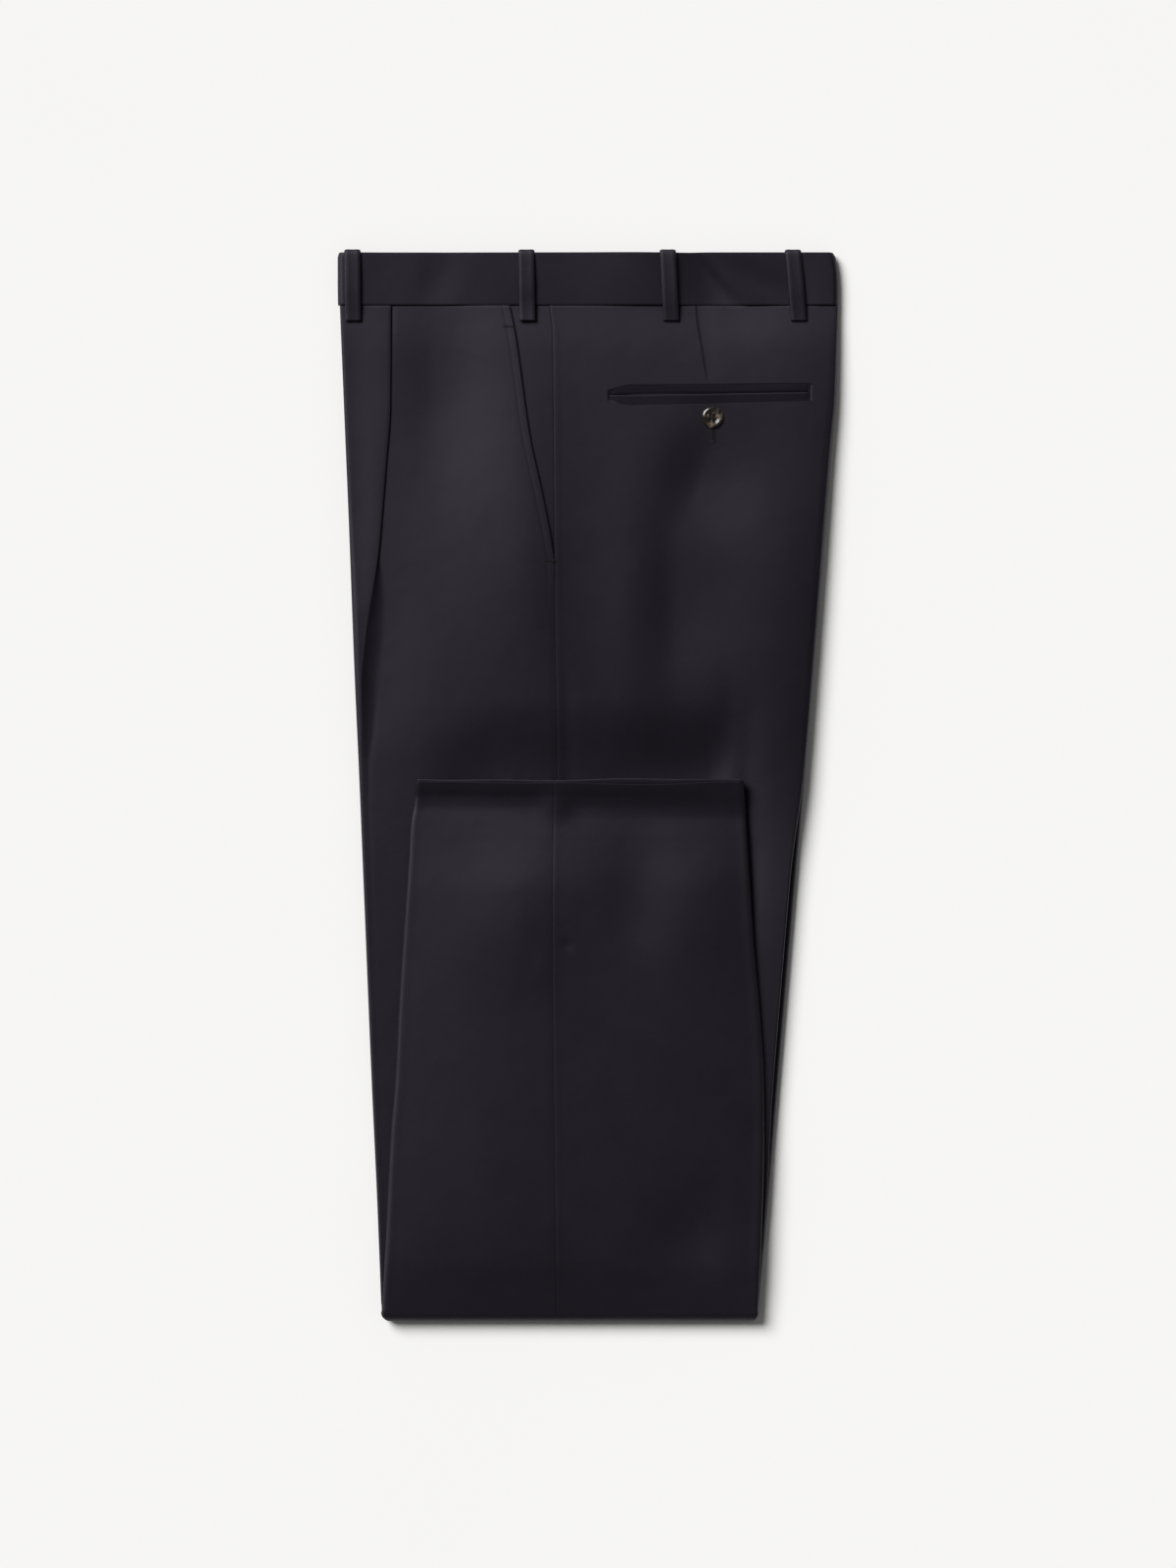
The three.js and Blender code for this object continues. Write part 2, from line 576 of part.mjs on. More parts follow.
// A belt loop: it starts inside the waistband, goes over its top edge and ends on the panel below it
function beltLoop({ top, bottom }) {
  const half = LOOP.cloth / 2;
  const inside = BAND.height - BAND.cloth - SEAM_GAP - half;
  const outside = BAND.height + SEAM_GAP + half;
  const crown = WAIST_TOP + SEAM_GAP + half;
  const end = panelTop(bottom, LOOP.end) + SEAM_GAP + half;
  const route = [
    { y: LOOP.tuck, z: inside, turn: 180 },
    { y: crown - 1.4, z: inside, turn: 180 },
    { y: crown - 0.25, z: inside + 0.35, turn: 130 },
    { y: crown, z: inside + 1.5, turn: 90 },
    { y: crown, z: outside - 1.3, turn: 90 },
    { y: crown - 0.25, z: outside - 0.2, turn: 45 },
    { y: crown - 2.2, z: outside + 0.4, turn: 10 },
    { y: 358, z: outside + LOOP.standOff, turn: 0 },
    { y: 344, z: outside + LOOP.standOff, turn: 0 },
    { y: 335, z: outside + 0.5, turn: -6 },
    { y: 328, z: mix(outside, end, 0.45), turn: -14 },
    { y: LOOP.end, z: end, turn: 0 },
  ];
  const across = [
    { share: -1, drop: 0.45 },
    { share: -0.8, drop: 0 },
    { share: 0.8, drop: 0 },
    { share: 1, drop: 0.45 },
  ];
  const side = (sign) =>
    route.map(({ y, z, turn }) =>
      across.map(({ share, drop }) => {
        const centre = mix(bottom, top, (y - LOOP.end) / (WAIST_TOP - LOOP.end));
        const reach = sign * (half - drop / 2);
        const [ny, nz] = [Math.sin(radians(turn)), Math.cos(radians(turn))];
        return new THREE.Vector3(centre + (share * LOOP.width) / 2, y + reach * ny, z + reach * nz);
      }),
    );
  return solidBetween(side(1), side(-1));
}

// One lip of the back pocket, laid on the panel
function welt({ upper, lower }) {
  const across = shares(3);
  const lengthwise = shares(8);
  const side = (raise) =>
    lengthwise.map((share) =>
      across.map((rise) => {
        const x = mix(WELT.left, WELT.right, share);
        const y = mix(mix(...lower, share), mix(...upper, share), rise);
        const rounded = raise * (rise > 0 && rise < 1 ? 1 : 0.75);
        return new THREE.Vector3(x, y, bodyTop(x, y) + SEAM_GAP + WELT.cloth * rounded);
      }),
    );
  return solidBetween(side(1), side(0));
}

// The back pocket's button, with its four holes
function button() {
  const shape = new THREE.Shape().absarc(0, 0, BUTTON.radius - BUTTON.bevel, 0, 2 * Math.PI);
  for (const corner of [45, 135, 225, 315]) {
    const reach = BUTTON.holeSpacing / Math.SQRT2;
    const [x, y] = [reach * Math.cos(radians(corner)), reach * Math.sin(radians(corner))];
    shape.holes.push(new THREE.Path().absarc(x, y, BUTTON.holeRadius, 0, 2 * Math.PI, true));
  }
  const geometry = new THREE.ExtrudeGeometry(shape, {
    depth: BUTTON.height - 2 * BUTTON.bevel,
    bevelThickness: BUTTON.bevel,
    bevelSize: BUTTON.bevel,
    bevelSegments: 1,
    curveSegments: 6,
  });
  const reach = [-BUTTON.radius, 0, BUTTON.radius];
  const clothUnder = reach.flatMap((i) => reach.map((j) => bodyTop(BUTTON.x + i, BUTTON.y + j)));
  const seat = Math.max(...clothUnder) + SEAM_GAP;
  return geometry.translate(BUTTON.x, BUTTON.y, seat + BUTTON.bevel);
}

const wool = { color: 0x2a282e, roughness: 0.92, metalness: 0 };
const horn = { color: 0x3b3129, roughness: 0.35, metalness: 0 };

const trousers = new THREE.Group();
function add(name, geometry, finish = wool) {
  const mesh = new THREE.Mesh(geometry, new THREE.MeshStandardMaterial(finish));
  mesh.name = name;
  trousers.add(mesh);
}

const onBody = (i, x, z) => new THREE.Vector3(x, BODY_ROWS[i], z);
add("left_front", wallOf(BODY_ROWS.map(leftFrontSection), onBody));
add("left_back", wallOf(BODY_ROWS.map(leftBackSection), onBody));
add("left_pocket_facing", pocketFacing());
add("right_front", rightPanel(-1, 7));
add("right_back", rightPanel(1, 8));
const layers = solidBetween(hiddenLayers("outer"), hiddenLayers("inner"));
add("hidden_layers", cut(layers, [1 / 3, 2 / 3].map(hemSlot)));
add("waistband_left", waistband(1));
add("waistband_right", waistband(-1));
for (const loop of BELT_LOOPS) add(loop.name, beltLoop(loop));
for (const lip of WELTS) add(lip.name, welt(lip));
add("back_pocket_button", button(), horn);

export default trousers;
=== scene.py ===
"""Pleated dark wool trousers, laid on one side and folded in half at the knee.

Sizes are millimetres in the row frame: +X to the garment's back, +Y to its waist, +Z up. They become
metres where a mesh is made. The cloth is built as fine shells on the forms of the CAD solids.
"""

import math

import bmesh
import bpy
import numpy as np
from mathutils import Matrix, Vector


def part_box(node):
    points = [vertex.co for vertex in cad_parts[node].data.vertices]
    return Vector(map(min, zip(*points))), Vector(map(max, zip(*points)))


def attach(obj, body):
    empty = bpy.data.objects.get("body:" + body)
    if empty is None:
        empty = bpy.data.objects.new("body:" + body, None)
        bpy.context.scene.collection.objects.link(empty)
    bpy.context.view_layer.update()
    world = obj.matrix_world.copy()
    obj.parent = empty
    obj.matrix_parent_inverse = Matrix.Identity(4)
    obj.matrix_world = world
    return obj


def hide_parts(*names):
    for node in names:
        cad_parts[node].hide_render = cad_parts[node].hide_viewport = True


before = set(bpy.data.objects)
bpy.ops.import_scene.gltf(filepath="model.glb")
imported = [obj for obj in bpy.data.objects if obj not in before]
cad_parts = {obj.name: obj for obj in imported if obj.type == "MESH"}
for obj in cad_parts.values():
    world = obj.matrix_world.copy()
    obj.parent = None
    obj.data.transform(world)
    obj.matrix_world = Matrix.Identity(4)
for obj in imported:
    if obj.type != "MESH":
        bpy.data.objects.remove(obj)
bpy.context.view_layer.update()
MM = 0.001
CORNERS = ((-1, -1), (1, -1), (1, 1), (-1, 1))

# Driving dimensions, as in the CAD
CLOTH = 0.6  # the CAD walls are 1.0
SEAM_GAP = 0.3
LAYER_GAP = 0.6
WAIST_SEAM = 333.2
WAIST_TOP = 370.0
HEM = 1.4
FOLD = -372.6
FOLD_RADIUS = 6.7
FOLD_CENTRE = FOLD + FOLD_RADIUS
FOLD_CORNER = 2.6
LEFT_END = -361.0
CREASE_HEIGHT = 4.6
OVER_CREASE = 4.2
PLEAT_TURN = 0.38
PLEAT_DROP = 0.45
PLEAT_OPEN = 24.0  # radius of the bend beside the pleat where it opens out
PLEAT_SPREAD = 26.0
POCKET_END = 156.0
POCKET_LIFT = 0.8  # the front stands this much up at the side pocket's edge
FACING_SINK = 1.3  # and the facing lies this much down
FACING_UNDERLAP = 9.0
BAND_HEIGHT, BAND_CLOTH = 9.2, 2.8
BAND_TILT = 0.036  # the band leans a little towards the legs
BAND_DROP = 0.8  # and its front part lies this much lower
BAND_RISE = 0.01  # and leans a little the other way
LOOP_WIDTH, LOOP_CLOTH, LOOP_TUCK, LOOP_END = 11.3, 1.6, 362.0, 321.8
BUTTON_X, BUTTON_Y, BUTTON_RADIUS, BUTTON_HEIGHT = 85.7, 255.0, 7.5, 2.6
BUTTON_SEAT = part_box("back_pocket_button")[0].z / MM
HOLE_OFFSET = 1.5  # the button's four holes, to each side of its middle

# Finer form that only the scene has
EDGE_ROUND = 0.28  # radius of a cut or folded edge
SEAM_ROUND = 0.14  # radius of a seam's pressed edge
STITCH_INSET = 4.8  # pick stitches from the side pocket's edge
STITCH_PITCH = 3.4
STITCH_DEPTH = 0.14
SEAM_PRESS = 0.25  # the front lies this much lower along the side seam, under the pocket
SEAM_RIDGE = 0.08  # height of the side seam's pressed ridge
SEAM_TROUGH = 0.35  # depth of the soft trough behind it, in the seat
DART_DEPTH = 0.32
HEM_LINE = 0.05  # depth of the line that the turned-up hem's edge presses
SEWN_GAP = 0.1  # between the panels of a seam, where the CAD keeps 0.3
HEM_DEPTH = 40.0  # how far the hem is turned up
CREASE_SHARPNESS = 0.5  # how much narrower than round a pressed crease is
GRID = 2.0  # spacing of the cloth's points where it shows
HIDDEN_GRID = 6.0  # and where it doesn't


def table(columns, *rows):
    """A short table with named columns, its rows from the waist down"""
    return {name: np.array(values, float) for name, values in zip(columns.split(), zip(*rows))}


# Outline of the garment where it lies flat. inset is how far the upper leg's back crease stands back
# from the lower leg's, and turn the angle that the cloth turns through at the back edge.
BODY = table(
    "y left right inset turn",
    (333.2, -173.2, 173.3, 0, 90),
    (273, -170.7, 172.0, 0, 90),
    (232, -169.0, 168.6, 0, 92),
    (190, -167.2, 165.2, 0, 100),
    (68, -162.5, 155.0, 0, 150),
    (10, -159.9, 150.3, 0.6, 180),
    (-66, -156.8, 143.6, 3.8, 180),
    (-210, -150.9, 131.2, 3.4, 180),
    (-290, -147.2, 124.6, 1.2, 180),
    (-372.6, -144.0, 116.9, 0.4, 180),
)
OVER = table(
    "y left right",
    (4.1, -120.0, 107.0),
    (-6, -120.4, 107.9),
    (-14, -121.5, 108.7),
    (-23, -123.2, 109.5),
    (-34, -124.2, 110.2),
    (-46, -124.8, 110.8),
    (-105, -128.8, 114.2),
    (-155, -131.9, 118.4),
    (-203, -134.2, 121.2),
    (-244, -137.4, 121.6),
    (-309, -140.4, 119.9),
    (-372.6, -144.0, 116.9),
)
BAND_OUTLINE = table(
    "y left right",
    (370, -173.8, 169.6),
    (366.5, -174.8, 171.6),
    (350, -174.8, 173.4),
    (333.5, -174.6, 173.5),
)

# Height of the outer cloth at the creases, and how much it swells in the middle
BODY_HEIGHT = table(
    "y left right swell",
    (333.2, 7.5, 7.5, 0.15),
    (300, 8.8, 9.8, 1.6),
    (240, 9.4, 11.7, 2.8),
    (150, 9.5, 13.0, 4.6),
    (85, 9.4, 13.1, 5.6),
    (40, 9.3, 13.0, 5.8),
    (0, 9.2, 13.2, 3.8),
    (-60, 9.2, 12.6, 1.2),
    (-200, 9.0, 11.5, 0.1),
    (-300, 8.7, 10.3, 0.1),
    (LEFT_END, FOLD_RADIUS + 0.5, FOLD_RADIUS + 0.5, 0),
)
OVER_HEIGHT = table(
    "y left right swell",
    (1.4, 20.2, 22.4, 0.3),
    (-3, 18.7, 21.0, 0.2),
    (-9, 16.4, 18.9, 0.1),
    (-15, 15.8, 16.8, 0.2),
    (-24, 16.3, 15.2, 0.9),
    (-40, 16.9, 15.4, 2.3),
    (-75, 17.8, 16.2, 4.6),
    (-110, 17.8, 16.0, 5.2),
    (-140, 17.8, 15.6, 5.4),
    (-240, 17.4, 15.1, 5.0),
    (-300, 16.8, 15.0, 4.2),
    (-330, 16.0, 14.9, 3.0),
    (-350, 14.7, 14.3, 1.2),
    (FOLD_CENTRE, 2 * FOLD_RADIUS, 2 * FOLD_RADIUS, 0),
)
BODY_FULLNESS = (4, 7)  # powers of the swelling towards the front and the back: higher is flatter
OVER_FULLNESS = 2.6
BACK_RISE = 3  # and of the rise from the front edge to the back edge
# The open end of the leg is plumper at its back crease
OVER_BACK_CREASE = table("y height", (1.4, 7.4), (-50, 6.8), (-150, 4.2), (-372.6, 4.2))
# The lower leg's back crease, where it lies on the surface
BACK_CREASE = table("y height", (60, 4.6), (-20, 7.2), (-300, 7.0), (-350, 4.6))
CREASE_RETURN = 4.0  # how far its cloth runs back under the upper leg
# The leg that is folded over presses the one under it down, from a little above the hem
PRESSED = {"top": 60.0, "bottom": 0.0, "left": (-120.0, -62.0), "right": (90.0, 128.0)}
# Where the pleat's fold runs, how far the cloth turns there (180 is pressed shut), how far it runs back
# under where it is shut, and the step from the strip beside it down to the panel
PLEAT = table(
    "y edge angle run step",
    (333.2, -137.2, 180, 14, 1.52),
    (263, -137.6, 180, 12, 1.52),
    (223, -140.4, 180, 8, 1.52),
    (185, -143.4, 180, 1, 1.54),
    (167, -145.0, 125, 0.6, 1.75),
    (159, -145.9, 85, 0.6, 1.9),
    (151, -147.0, 58, 0.6, 2.1),
    (137, -149.2, 38, 0.6, 2.5),
    (123, -151.5, 32, 0.6, 2.85),
    (103, -154.4, 27, 0.6, 2.9),
    (69, -157.6, 22, 0.6, 2.3),
    (40, -158.6, 15, 0.6, 1.2),
    (18, -158.6, 6, 0.6, 0.3),
    (-10, -158.8, 0.5, 0.6, 0.02),
)
# How far the strip between the crease and the pleat slopes down to the crease
PLEAT_TILT = table("y drop", (333.2, 0.6), (260, 2.0), (190, 1.8), (150, 0.7), (110, 0.1), (60, 0.0))
POCKET_EDGE = table(
    "y x", (333.2, -55.2), (313, -51.2), (241, -40.9), (212, -34.6), (178, -27.6), (156, -23.95)
)
SIDE_SEAM = table("y x", (333.2, -27.4), (313, -25.2), (156, -23.8), (10, -22.0))
OVER_SEAM = table("y x", (4.1, -24.4), (-98, -25.2), (-250, -23.8), (-372.6, -22.6))
DART = table("y x", (333.2, 74.4), (322, 75.4), (303, 78.4), (279, 82.0))

# Soft folds and hollows. left and right are the widths of the two flanks, and length is half of the
# fold's length. It leans by lean degrees from the Y axis towards +X.
BODY_FOLDS = table(
    "x y left right length lean height",
    (-106, 268, 22, 32, 58, 0, -3.0),
    (-50, 172, 50, 35, 110, -3, 4.8),
    (0, 150, 80, 110, 115, 0, 3.0),
    (27, 100, 22, 20, 75, 0, 1.0),
    (79, 213, 23, 46, 38, 22, -4.3),
    (61, 122, 19, 48, 50, 0, -3.2),
    (107, -42, 9, 21, 62, 4, -3.4),
    (82, 10, 54, 20, 37, 0, -5.5),
    (112, -50, 12, 30, 60, 0, -1.8),
    (100, 46, 10, 30, 28, 0, -1.4),
    (98, 345, 42, 42, 42, 0, -2.2),
    (-126, -140, 20, 14, 110, 0, 0.5),
)
OVER_FOLDS = table(
    "x y left right length lean height",
    (-52, -92, 48, 34, 44, 0, 3.0),
    (86, -80, 34, 20, 36, 0, 1.8),
    (-22, -13, 11, 9, 10, 0, 1.9),
    (34, -78, 26, 26, 45, 0, -3.0),
    (-70, -250, 30, 40, 70, -10, 1.0),
    (76, -312, 34, 24, 28, 0, -4.0),
    (-33, -125, 7, 7, 12, 10, 0.3),
    (-15, -111, 4.5, 4.5, 3.2, 30, -0.6),
)
BAND_FOLDS = table(
    "x y left right length lean height",
    (-106, 351, 12, 12, 26, 20, -0.7),
    (34, 352, 34, 28, 44, -20, 2.0),
    (84, 351, 18, 7, 36, -40, -4.4),
    (118, 351, 9, 9, 34, -63, -1.0),
)

# The back pocket's two lips, and the belt loops, as in the CAD
WELTS = table(
    "upper_left upper_right lower_left lower_right",
    (277.0, 278.4, 271.0, 273.3),
    (270.4, 272.7, 263.2, 266.8),
)
WELT_LEFT, WELT_RIGHT = 13.5, 152.2
WELT_SINK = 1.1  # the panel dips this much under the lips
TAPER_TOP, TAPER_BOTTOM = 3.4, 3.6  # how far the opening's edges come in at its left end
BELT_LOOPS = table("top bottom", (-164.3, -163.6), (-43.4, -42.6), (54.8, 57.3), (141.8, 146.0))


def mix(a, b, share):
    return a + (b - a) * share


def ease(value, low, high):
    share = np.clip((value - low) / (high - low), 0, 1)
    return share * share * (3 - 2 * share)


def bell(value, width):
    return np.exp(-((value / width) ** 2))


def along(rows, column, y):
    """A column of a table between its rows, on a smooth curve that never overshoots them"""
    ys, values = rows["y"][::-1], rows[column][::-1]
    secant = np.diff(values) / np.diff(ys)
    before, after = secant[:-1], secant[1:]
    level = before * after <= 0
    middle = np.where(level, 0, 2 * before * after / np.where(level, 1, before + after))
    slope = np.concatenate([secant[:1], middle, secant[-1:]])
    y = np.clip(y, ys[0], ys[-1])
    i = np.clip(np.searchsorted(ys, y) - 1, 0, len(ys) - 2)
    step = ys[i + 1] - ys[i]
    t = (y - ys[i]) / step
    curve = values[i] * (1 + 2 * t) * (1 - t) ** 2 + values[i + 1] * t**2 * (3 - 2 * t)
    return curve + step * (slope[i] * t * (1 - t) ** 2 - slope[i + 1] * t**2 * (1 - t))


def sides(rows, y):
    """The left and the right edge of an outline"""
    return along(rows, "left", y), along(rows, "right", y)


def folds(rows, x, y):
    """Height that a table of soft folds adds"""
    total = 0
    for i in range(len(rows["x"])):
        lean = math.radians(rows["lean"][i])
        dx, dy = x - rows["x"][i], y - rows["y"][i]
        across = dx * math.cos(lean) - dy * math.sin(lean)
        lengthwise = dx * math.sin(lean) + dy * math.cos(lean)
        width = np.where(across < 0, rows["left"][i], rows["right"][i])
        total = total + rows["height"][i] * bell(across, width) * bell(lengthwise, rows["length"][i])
    return total


def swelling(x, left, right, left_power, right_power):
    """From 0 at the edges to 1 in the middle, flatter there for a higher power"""
    across = np.clip((2 * x - left - right) / (right - left), -1, 1)
    return 1 - np.abs(across) ** np.where(across < 0, left_power, right_power)


def pressed(x, y):
    """How far the leg on top presses the cloth down, from 0 to 1"""
    across = ease(x, *PRESSED["left"]) * (1 - ease(x, *PRESSED["right"]))
    return across * (1 - ease(y, PRESSED["bottom"], PRESSED["top"]))


def body_top(x, y):
    """Outer surface of the left leg, without its pleat"""
    left, right = sides(BODY, y)
    share = np.clip((x - left) / (right - left), 0, 1)
    edges = mix(*sides(BODY_HEIGHT, y), share**BACK_RISE)
    swell = along(BODY_HEIGHT, "swell", y) * (1 - pressed(x, y)) + folds(BODY_FOLDS, x, y)
    return edges + swelling(x, left, right, *BODY_FULLNESS) * swell


def over_top(x, y):
    """Outer surface of the leg that is folded over"""
    left, right = sides(OVER, y)
    edges = mix(*sides(OVER_HEIGHT, y), ease(x, left, right))
    swell = along(OVER_HEIGHT, "swell", y) + folds(OVER_FOLDS, x, y)
    return edges + swelling(x, left, right, OVER_FULLNESS, OVER_FULLNESS) * swell


def band_top(x, y):
    """Outer face of the waistband's upper half, which has no folds at its ends"""
    right = ease(x, -100, -20)
    down = WAIST_TOP - y
    drop = BAND_TILT * down * right + (BAND_DROP - BAND_RISE * down) * (1 - right)
    return BAND_HEIGHT + (folds(BAND_FOLDS, x, y) - drop) * (1 - ease(np.abs(x), 140, 165))


def pleat_shape(y):
    """The pleat's angle, the radius of its lower bend, which opens out where the pleat does, and the
    straight run between its two bends, which makes up the step"""
    angle = np.radians(along(PLEAT, "angle", y))
    drop, step = 1 - np.cos(angle), along(PLEAT, "step", y)
    widest = mix(PLEAT_OPEN, PLEAT_TURN, ease(angle, np.radians(26), np.radians(70)))
    bend = np.clip((step - 0.3 * np.sin(angle)) / np.maximum(drop, 1e-5) - PLEAT_TURN, PLEAT_TURN, widest)
    needed = np.maximum(0.3, (step - (PLEAT_TURN + bend) * drop) / np.maximum(np.sin(angle), 0.008))
    return angle, bend, np.where(angle > np.radians(179.5), along(PLEAT, "run", y), needed)


def pleat_step(y):
    angle, bend, run = pleat_shape(y)
    return (PLEAT_TURN + bend) * (1 - np.cos(angle)) + run * np.sin(angle)


def pleat_reach(y):
    """How far the open pleat reaches past its fold"""
    angle, bend, run = pleat_shape(y)
    return np.maximum(0, run * np.cos(angle)) + np.where(angle < np.pi / 2, bend * np.sin(angle), 0)


def front_top(x, y):
    past = x - along(PLEAT, "edge", y)
    beside = np.maximum(0, past - pleat_reach(y)) / PLEAT_SPREAD
    against = 0.3 * ease(y, 298, 324) * ease(past, 0.3, 4) * (1 - ease(past, 9, 36))
    return body_top(x, y) - PLEAT_DROP * pleat_step(y) * np.exp(-(beside**2)) + against


def front_edge(y):
    seam = along(SIDE_SEAM, "x", y) - SEWN_GAP / 2
    return np.where(y > POCKET_END, along(POCKET_EDGE, "x", y), seam)


def stations(*stretches):
    """Values along a line, from stretches of (from, to, spacing)"""
    parts = []
    for start, end, spacing in stretches:
        count = max(1, round(abs(end - start) / spacing))
        parts.append(np.linspace(start, end, count, endpoint=False))
    return np.concatenate([*parts, [stretches[-1][1]]])


# Meshes


def piece_from(name, vertices, faces, material):
    """A mesh object from millimetres, which rides on the part's one body"""
    mesh = bpy.data.meshes.new(name)
    mesh.from_pydata((np.asarray(vertices) * MM).tolist(), [], faces)
    bm = bmesh.new()
    bm.from_mesh(mesh)
    bmesh.ops.recalc_face_normals(bm, faces=bm.faces)
    bm.to_mesh(mesh)
    bm.free()
    mesh.polygons.foreach_set("use_smooth", [True] * len(mesh.polygons))
    mesh.materials.append(material)
    piece = bpy.data.objects.new(name, mesh)
    bpy.context.scene.collection.objects.link(piece)
    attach(piece, "root")
    return piece


def grid_faces(rows, columns, start=0, flip=False):
    r, c = np.meshgrid(np.arange(rows - 1), np.arange(columns - 1), indexing="ij")
    a = (start + r * columns + c).ravel()
    quads = np.stack([a, a + columns, a + columns + 1, a + 1], 1)
    return quads[:, ::-1] if flip else quads


def ring_faces(count, size, open_start=False):
    """Faces of a closed solid through rings of points"""
    faces = []
    for r in range(count - 1):
        for k in range(size):
            a, b = r * size + k, r * size + (k + 1) % size
            faces.append([a, b, b + size, a + size])
    if not open_start:
        faces.append(list(range(size))[::-1])
    faces.append(list(range((count - 1) * size, count * size)))
    return faces


def rounded_border(middle, reach, half, radii):
    """Adds rows to a grid so that its first and last edge are rounded in thickness. Done on both axes
    of the grid by turning it. reach is the share of the half thickness at each point."""
    for radius in radii:
        for _ in range(2):
            inward = middle[1] - middle[0]
            length = np.linalg.norm(inward, axis=-1, keepdims=True)
            inward = inward / np.maximum(length, 1e-9)
            rows, reaches = [], []
            for degrees in (90, 60, 30, 0):
                angle = math.radians(degrees)
                rows.append(middle[0] + inward * np.minimum(radius, length * 0.8) * (1 - math.sin(angle)))
                reaches.append(reach[0] - (radius / half) * (1 - math.cos(angle)))
            middle = np.concatenate([rows, middle[1:]])[::-1]
            reach = np.concatenate([reaches, reach[1:]])[::-1]
        middle = middle.transpose(1, 0, 2)
        reach = reach.T
    return middle, reach


def normals_of(middle):
    down, across = np.gradient(middle, axis=0), np.gradient(middle, axis=1)
    normal = np.cross(across, down)
    return normal / np.maximum(np.linalg.norm(normal, axis=-1, keepdims=True), 1e-9)


def shell(name, middle, normal, cloth, material, radii):
    """A closed wall of even thickness round a grid of points. radii are of the edges at the ends of the
    grid's rows and of its columns."""
    half = cloth / 2
    rows, columns = middle.shape[:2]
    middle, reach = rounded_border(middle, np.ones((rows, columns)), half, radii)
    row_of = [0, 0, 0, *range(rows), rows - 1, rows - 1, rows - 1]
    column_of = [0, 0, 0, *range(columns), columns - 1, columns - 1, columns - 1]
    offset = normal[np.ix_(row_of, column_of)] * (reach * half)[..., None]
    rows, columns = middle.shape[:2]
    vertices = np.concatenate([(middle + offset).reshape(-1, 3), (middle - offset).reshape(-1, 3)])
    count = rows * columns
    faces = [grid_faces(rows, columns), grid_faces(rows, columns, count, True)]
    index = np.arange(count).reshape(rows, columns)
    for loop in (index[0], index[:, -1], index[-1][::-1], index[::-1, 0]):
        faces.append(np.stack([loop[:-1], loop[1:], loop[1:] + count, loop[:-1] + count], 1))
    return piece_from(name, vertices, np.concatenate(faces).tolist(), material)


def cut_of(middle):
    """Width, length and area that a grid of points has when it is laid out flat, in metres"""
    across = np.linalg.norm(np.diff(middle, axis=1), axis=2)
    down = np.linalg.norm(np.diff(middle, axis=0), axis=2)
    area = (across[:-1] + across[1:]) / 2 * (down[:, :-1] + down[:, 1:]) / 2
    return across.sum(1).max() * MM, down.sum(0).max() * MM, area.sum() * MM * MM


def small_piece(name, middle, normal, cloth, material, node, radii=(EDGE_ROUND, EDGE_ROUND)):
    """A shell of cloth that stands for a CAD node, whose part it hides"""
    piece = shell(name, middle, normal, cloth, material, radii)
    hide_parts(node)
    return piece


def cloth_piece(name, middle, normal, cloth, material, node):
    """A sheet of cloth. The width, length and area of its cut are worked out but not used."""
    piece = small_piece(name, middle, normal, cloth, material, node, (EDGE_ROUND, SEAM_ROUND))
    width, length, area = cut_of(middle)
    area = min(area, width * length)
    return piece


# Sections across the garment: arrays of x, z and the outer face's direction, a row for each station


def join(*parts):
    """Sections side by side, at as many stations as the longest has"""
    rows = max(part[0].shape[0] for part in parts)

    def column(i):
        return np.concatenate([np.broadcast_to(part[i], (rows, part[i].shape[1])) for part in parts], 1)

    return [column(i) for i in range(4)]


def rolled_edge(edge, top, height, turn, side, cloth=CLOTH, steps=9, sharp=1.0):
    """The cloth turning down at an edge, on an arc that sharp makes narrower than round"""
    radius = height / (1 - np.cos(turn))
    angle = np.linspace(0, 1, steps)[None, :] * turn
    nx, nz = side * np.sin(angle), np.cos(angle)
    reach = radius - cloth / 2
    centre = edge - side * (radius * sharp + cloth / 2 * (1 - sharp))
    x, z = centre + nx * reach * sharp, top - radius + nz * reach
    length = np.hypot(nx / sharp, nz)
    return [x, z, nx / sharp / length, nz / length]


def between(start, end, count):
    """Columns of points from one edge to the next, without the edges themselves"""
    return mix(start, end, np.linspace(0, 1, count)[None, 1:-1])


def reverse(section):
    return [part[:, ::-1] for part in section]


def under(surface, x, cloth=CLOTH):
    z = surface - cloth / 2
    return [x, z, np.zeros_like(z), np.ones_like(z)]


def from_sections(section, y):
    """Middle points and normals of a wall from its sections"""
    x, z, nx, nz = section
    rows, columns = x.shape
    ys = np.broadcast_to(y.reshape(-1, 1), (rows, columns))
    middle = np.stack([x, ys, z], -1)
    normal = np.stack([nx, np.zeros_like(nx), nz], -1)
    return middle, normal


BODY_Y = stations((WAIST_SEAM, 282, GRID), (282, 261, 0.7), (261, -12, GRID), (-12, LEFT_END, HIDDEN_GRID))
EDGE_OFFSETS = np.array([8.0, 7.0, 6.2, 5.5, 4.8, 4.1, 3.4, 2.6, 1.8, 1.1, 0.0])  # from a seam or edge
DART_OFFSETS = np.linspace(-6, 6, 19)


def stitch_groove(distance, y):
    """A stitched line beside an edge: a shallow groove, deeper at each stitch"""
    beat = 0.5 + 0.5 * np.cos(2 * np.pi * y / STITCH_PITCH)
    return -STITCH_DEPTH * bell(distance - STITCH_INSET, 0.9) * (0.7 + 0.3 * beat)


